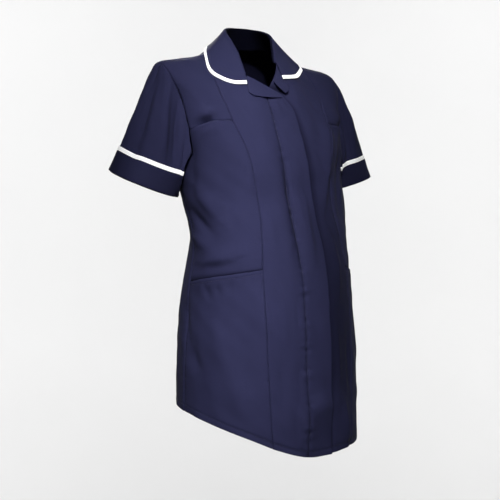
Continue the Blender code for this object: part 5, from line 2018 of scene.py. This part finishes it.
@dataclass
class Stitching:
    """Rows of stitches along the hem, the fly and the pocket mouths."""

    room: Workroom
    length: float = 0.0027
    gap: float = 0.0008
    thickness: float = 0.00042
    sink: float = 0.55
    facets: int = 6
    fly_distance: float = 0.0012
    look_ahead: float = 0.001

    def model_stitch(self) -> tuple[Array, list]:
        """Model one stitch, take its corners and faces, and clear it away again."""
        bpy.ops.object.select_all(action="DESELECT")
        bpy.ops.mesh.primitive_uv_sphere_add(
            segments=self.facets, ring_count=self.facets, radius=0.5
        )
        stitch = bpy.context.active_object
        bpy.ops.object.mode_set(mode="EDIT")
        bpy.ops.mesh.select_all(action="SELECT")
        bpy.ops.transform.resize(value=(self.thickness, self.thickness, self.length))
        bpy.ops.object.mode_set(mode="OBJECT")
        corners = np.array([tuple(v.co) for v in stitch.data.vertices])
        # sorted, because the sphere's faces come in another order at each run
        faces = sorted(list(p.vertices) for p in stitch.data.polygons)
        ends = np.abs(corners[:, 2]) / (self.length / 2.0)
        corners[:, 0] -= self.sink * self.thickness * ends ** 4
        bpy.data.objects.remove(stitch, do_unlink=True)
        return corners, faces

    def row(self, name: str, line: Array, normals: Array, on: Sewn) -> bpy.types.Object:
        """Lay stitches along a line on the cloth.

        Args:
            name: the piece's name.
            line: the points of the line.
            normals: the cloth's normal at each of them.
            on: the sheet that it is sewn through.

        Returns:
            The row of stitches as one piece.
        """
        corners, stitch_faces = self.model_stitch()
        run = arc_lengths(line, 0)
        pitch = self.length + self.gap
        centres = np.arange(pitch, run[-1] - pitch, pitch)
        spot = along_curve(centres, run, line)
        ahead = unit(along_curve(centres + self.look_ahead, run, line) - spot)
        beside = unit(np.cross(ahead, along_curve(centres, run, normals)))
        up = np.cross(beside, ahead)
        vertices = (
            spot[:, None] + corners[None, :, 0:1] * up[:, None]
            + corners[None, :, 1:2] * beside[:, None] + corners[None, :, 2:3] * ahead[:, None]
        )
        count = len(corners)
        faces = [
            [v + k * count for v in face] for k in range(len(centres)) for face in stitch_faces
        ]
        mesh = bpy.data.meshes.new(name)
        mesh.from_pydata(vertices.reshape(-1, 3).tolist(), [], faces)
        mesh.shade_smooth()
        mesh.materials.append(self.room.dye(self.room.finishes.navy_thread))
        piece = add_object(name, mesh)
        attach(piece, BODY)
        LOG.info("%s: %d stitches on %s", name, len(centres), on.piece.name)
        return piece

    def build(self, bodice: Bodice) -> None:
        """Sew the hem, the fly line and the pocket mouths."""
        for name, sheet in bodice.sheets.items():
            label = name.removeprefix("cloth_")
            if label.startswith(("front_yoke", "front_side")):
                continue
            line = sheet.line_near_row_edge(True, bodice.hem_depth)
            self.row(f"hem_stitches_{label}", *line, sheet)
        placket = bodice.sheets["cloth_front_placket"]
        line = placket.line_near_side_edge(True, self.fly_distance)
        self.row("fly_stitches", *line, placket)
        for side in Side:
            pocket = bodice.sheets[f"cloth_pocket_{side.label}"]
            line = pocket.line_near_row_edge(False, bodice.mouth_stitch)
            self.row(f"pocket_stitches_{side.label}", *line, pocket)


@dataclass
class Studio:
    """The pale sweep, the soft lights and the camera."""

    floor_height: float = -1.750
    floor_half: float = 4.0
    back_distance: float = 3.2
    back_height: float = 4.0
    sweep_radius: float = 0.9
    sweep_segments: int = 24
    edge_margin: float = 0.01
    level_margin: float = 0.001
    camera_azimuth: float = -39.008
    camera_pitch: float = 1.991
    camera_distance: float = 2.6402
    camera_target: tuple = (0.0, 0.0, -0.3685)
    lens: float = 100.8
    sensor: float = 36.0
    light_target: tuple = (-0.006, 0.000, -0.440)
    # name, azimuth, elevation, distance, width, height, spread in degrees and power
    soft_lights: tuple = (
        ("key", -37.0, 40.0, 3.0, 0.08, 0.78, 12.0, 1.62),
        ("fill", -34.0, 50.0, 3.0, 0.40, 0.70, 36.0, 0.9),
        ("back_key", 150.0, 26.0, 3.0, 0.60, 0.90, 24.0, 3.2),
    )
    world_strength: float = 0.14
    backdrop_power: float = 40.0
    backdrop_stand_off: float = 2.0
    backdrop_size: float = 1.6
    backdrop_spots: tuple = ((-1.5, 1.3), (1.5, 1.3), (-1.5, -1.3), (1.5, -1.3))

    def build(self) -> None:
        """Build the sweep, the lights and the camera."""
        self.sweep()
        self.lights()
        self.camera()

    def sweep(self) -> None:
        """Model the floor that curves up into a backdrop behind the tunic."""
        bpy.ops.object.select_all(action="DESELECT")
        bpy.ops.mesh.primitive_plane_add(size=2.0 * self.floor_half)
        floor = bpy.context.active_object
        floor.name = "pale_floor"
        heading = math.radians(self.camera_azimuth)
        floor.rotation_euler = (0.0, 0.0, heading)
        floor.location = (
            -math.sin(heading) * (self.back_distance - self.floor_half),
            math.cos(heading) * (self.back_distance - self.floor_half),
            self.floor_height,
        )
        bpy.ops.object.transform_apply(location=True, rotation=True, scale=True)
        away = np.array([-math.sin(heading), math.cos(heading)])
        self._pick_back_edge(floor, away)
        bpy.ops.mesh.extrude_region_move(
            TRANSFORM_OT_translate={"value": (0.0, 0.0, self.back_height)}
        )
        bpy.ops.object.mode_set(mode="OBJECT")
        self._pick_back_edge(floor, away)
        bpy.ops.mesh.bevel(
            offset=self.sweep_radius, segments=self.sweep_segments, affect="EDGES"
        )
        bpy.ops.object.mode_set(mode="OBJECT")
        floor.data.shade_smooth()
        floor.data.materials.append(FloorFinish().material())

    def _pick_back_edge(self, floor: bpy.types.Object, away: Array) -> None:
        """Select the floor's far edge alone, and leave the floor in edit mode."""
        bpy.ops.object.mode_set(mode="EDIT")
        bpy.ops.mesh.select_all(action="DESELECT")
        bpy.ops.mesh.select_mode(type="EDGE")
        bpy.ops.object.mode_set(mode="OBJECT")
        for edge in floor.data.edges:
            ends = [floor.data.vertices[v].co for v in edge.vertices]
            edge.select = all(
                v.x * away[0] + v.y * away[1] > self.back_distance - self.edge_margin
                and abs(v.z - self.floor_height) < self.level_margin for v in ends
            )
        bpy.ops.object.mode_set(mode="EDIT")

    def lights(self) -> None:
        """Hang the soft lights and set the surrounding light."""
        for name, azimuth, elevation, distance, width, height, angle, power in self.soft_lights:
            light = bpy.data.lights.new(name, "AREA")
            light.shape = "RECTANGLE"
            light.size = width
            light.size_y = height
            light.spread = math.radians(angle)
            light.energy = power
            self._aim(add_object(name, light), azimuth, elevation, distance, self.light_target)
        self._backdrop_lights()
        world = bpy.data.worlds.new("soft_surround")
        world.use_nodes = True
        background = world.node_tree.nodes["Background"]
        background.inputs["Color"].default_value = (1.0, 1.0, 1.0, 1.0)
        background.inputs["Strength"].default_value = self.world_strength
        bpy.context.scene.world = world
        bpy.context.scene.view_settings.view_transform = "Standard"

    def _backdrop_lights(self) -> None:
        """Hang lights out of view round the backdrop, all turned towards it."""
        a = math.radians(self.camera_azimuth)
        away = np.array([-math.sin(a), math.cos(a), 0.0])
        right = np.array([math.cos(a), math.sin(a), 0.0])
        middle = np.array(self.camera_target) + away * self.back_distance
        for across, up in self.backdrop_spots:
            light = bpy.data.lights.new("backdrop", "AREA")
            light.shape = "SQUARE"
            light.size = self.backdrop_size
            light.energy = self.backdrop_power
            lamp = add_object("backdrop", light)
            start = middle - away * self.backdrop_stand_off
            lamp.location = start + right * across + np.array([0.0, 0.0, up])
            lamp.rotation_euler = (math.pi / 2.0, 0.0, a)

    def camera(self) -> None:
        """Set the camera at the photograph's angle."""
        data = bpy.data.cameras.new("camera")
        data.lens = self.lens
        data.sensor_width = self.sensor
        camera = add_object("camera", data)
        self._aim(camera, self.camera_azimuth, self.camera_pitch, self.camera_distance,
                  self.camera_target)
        bpy.context.scene.camera = camera

    def _aim(self, thing: bpy.types.Object, azimuth: float, elevation: float, distance: float,
             target: tuple) -> None:
        """Place a lamp or camera round a target and turn it to look there."""
        a = math.radians(azimuth)
        e = math.radians(elevation)
        thing.location = (
            target[0] + distance * math.sin(a) * math.cos(e),
            target[1] - distance * math.cos(a) * math.cos(e),
            target[2] + distance * math.sin(e),
        )
        thing.rotation_euler = (math.pi / 2.0 - e, 0.0, a)


def main() -> None:
    """Build the studio and the dressed tunic."""
    logging.basicConfig(level=logging.INFO, format="%(name)s: %(message)s")
    Studio().build()
    room = Workroom()
    plan = SeamPlan(BodyForm())
    bodice = Bodice(plan, room)
    bodice.build()
    for side in Side:
        Sleeve(plan, room, side).build()
    Collar(plan, room).build()
    Lapels(plan, room).build()
    Stitching(room).build(bodice)


if __name__ == "__main__":
    main()
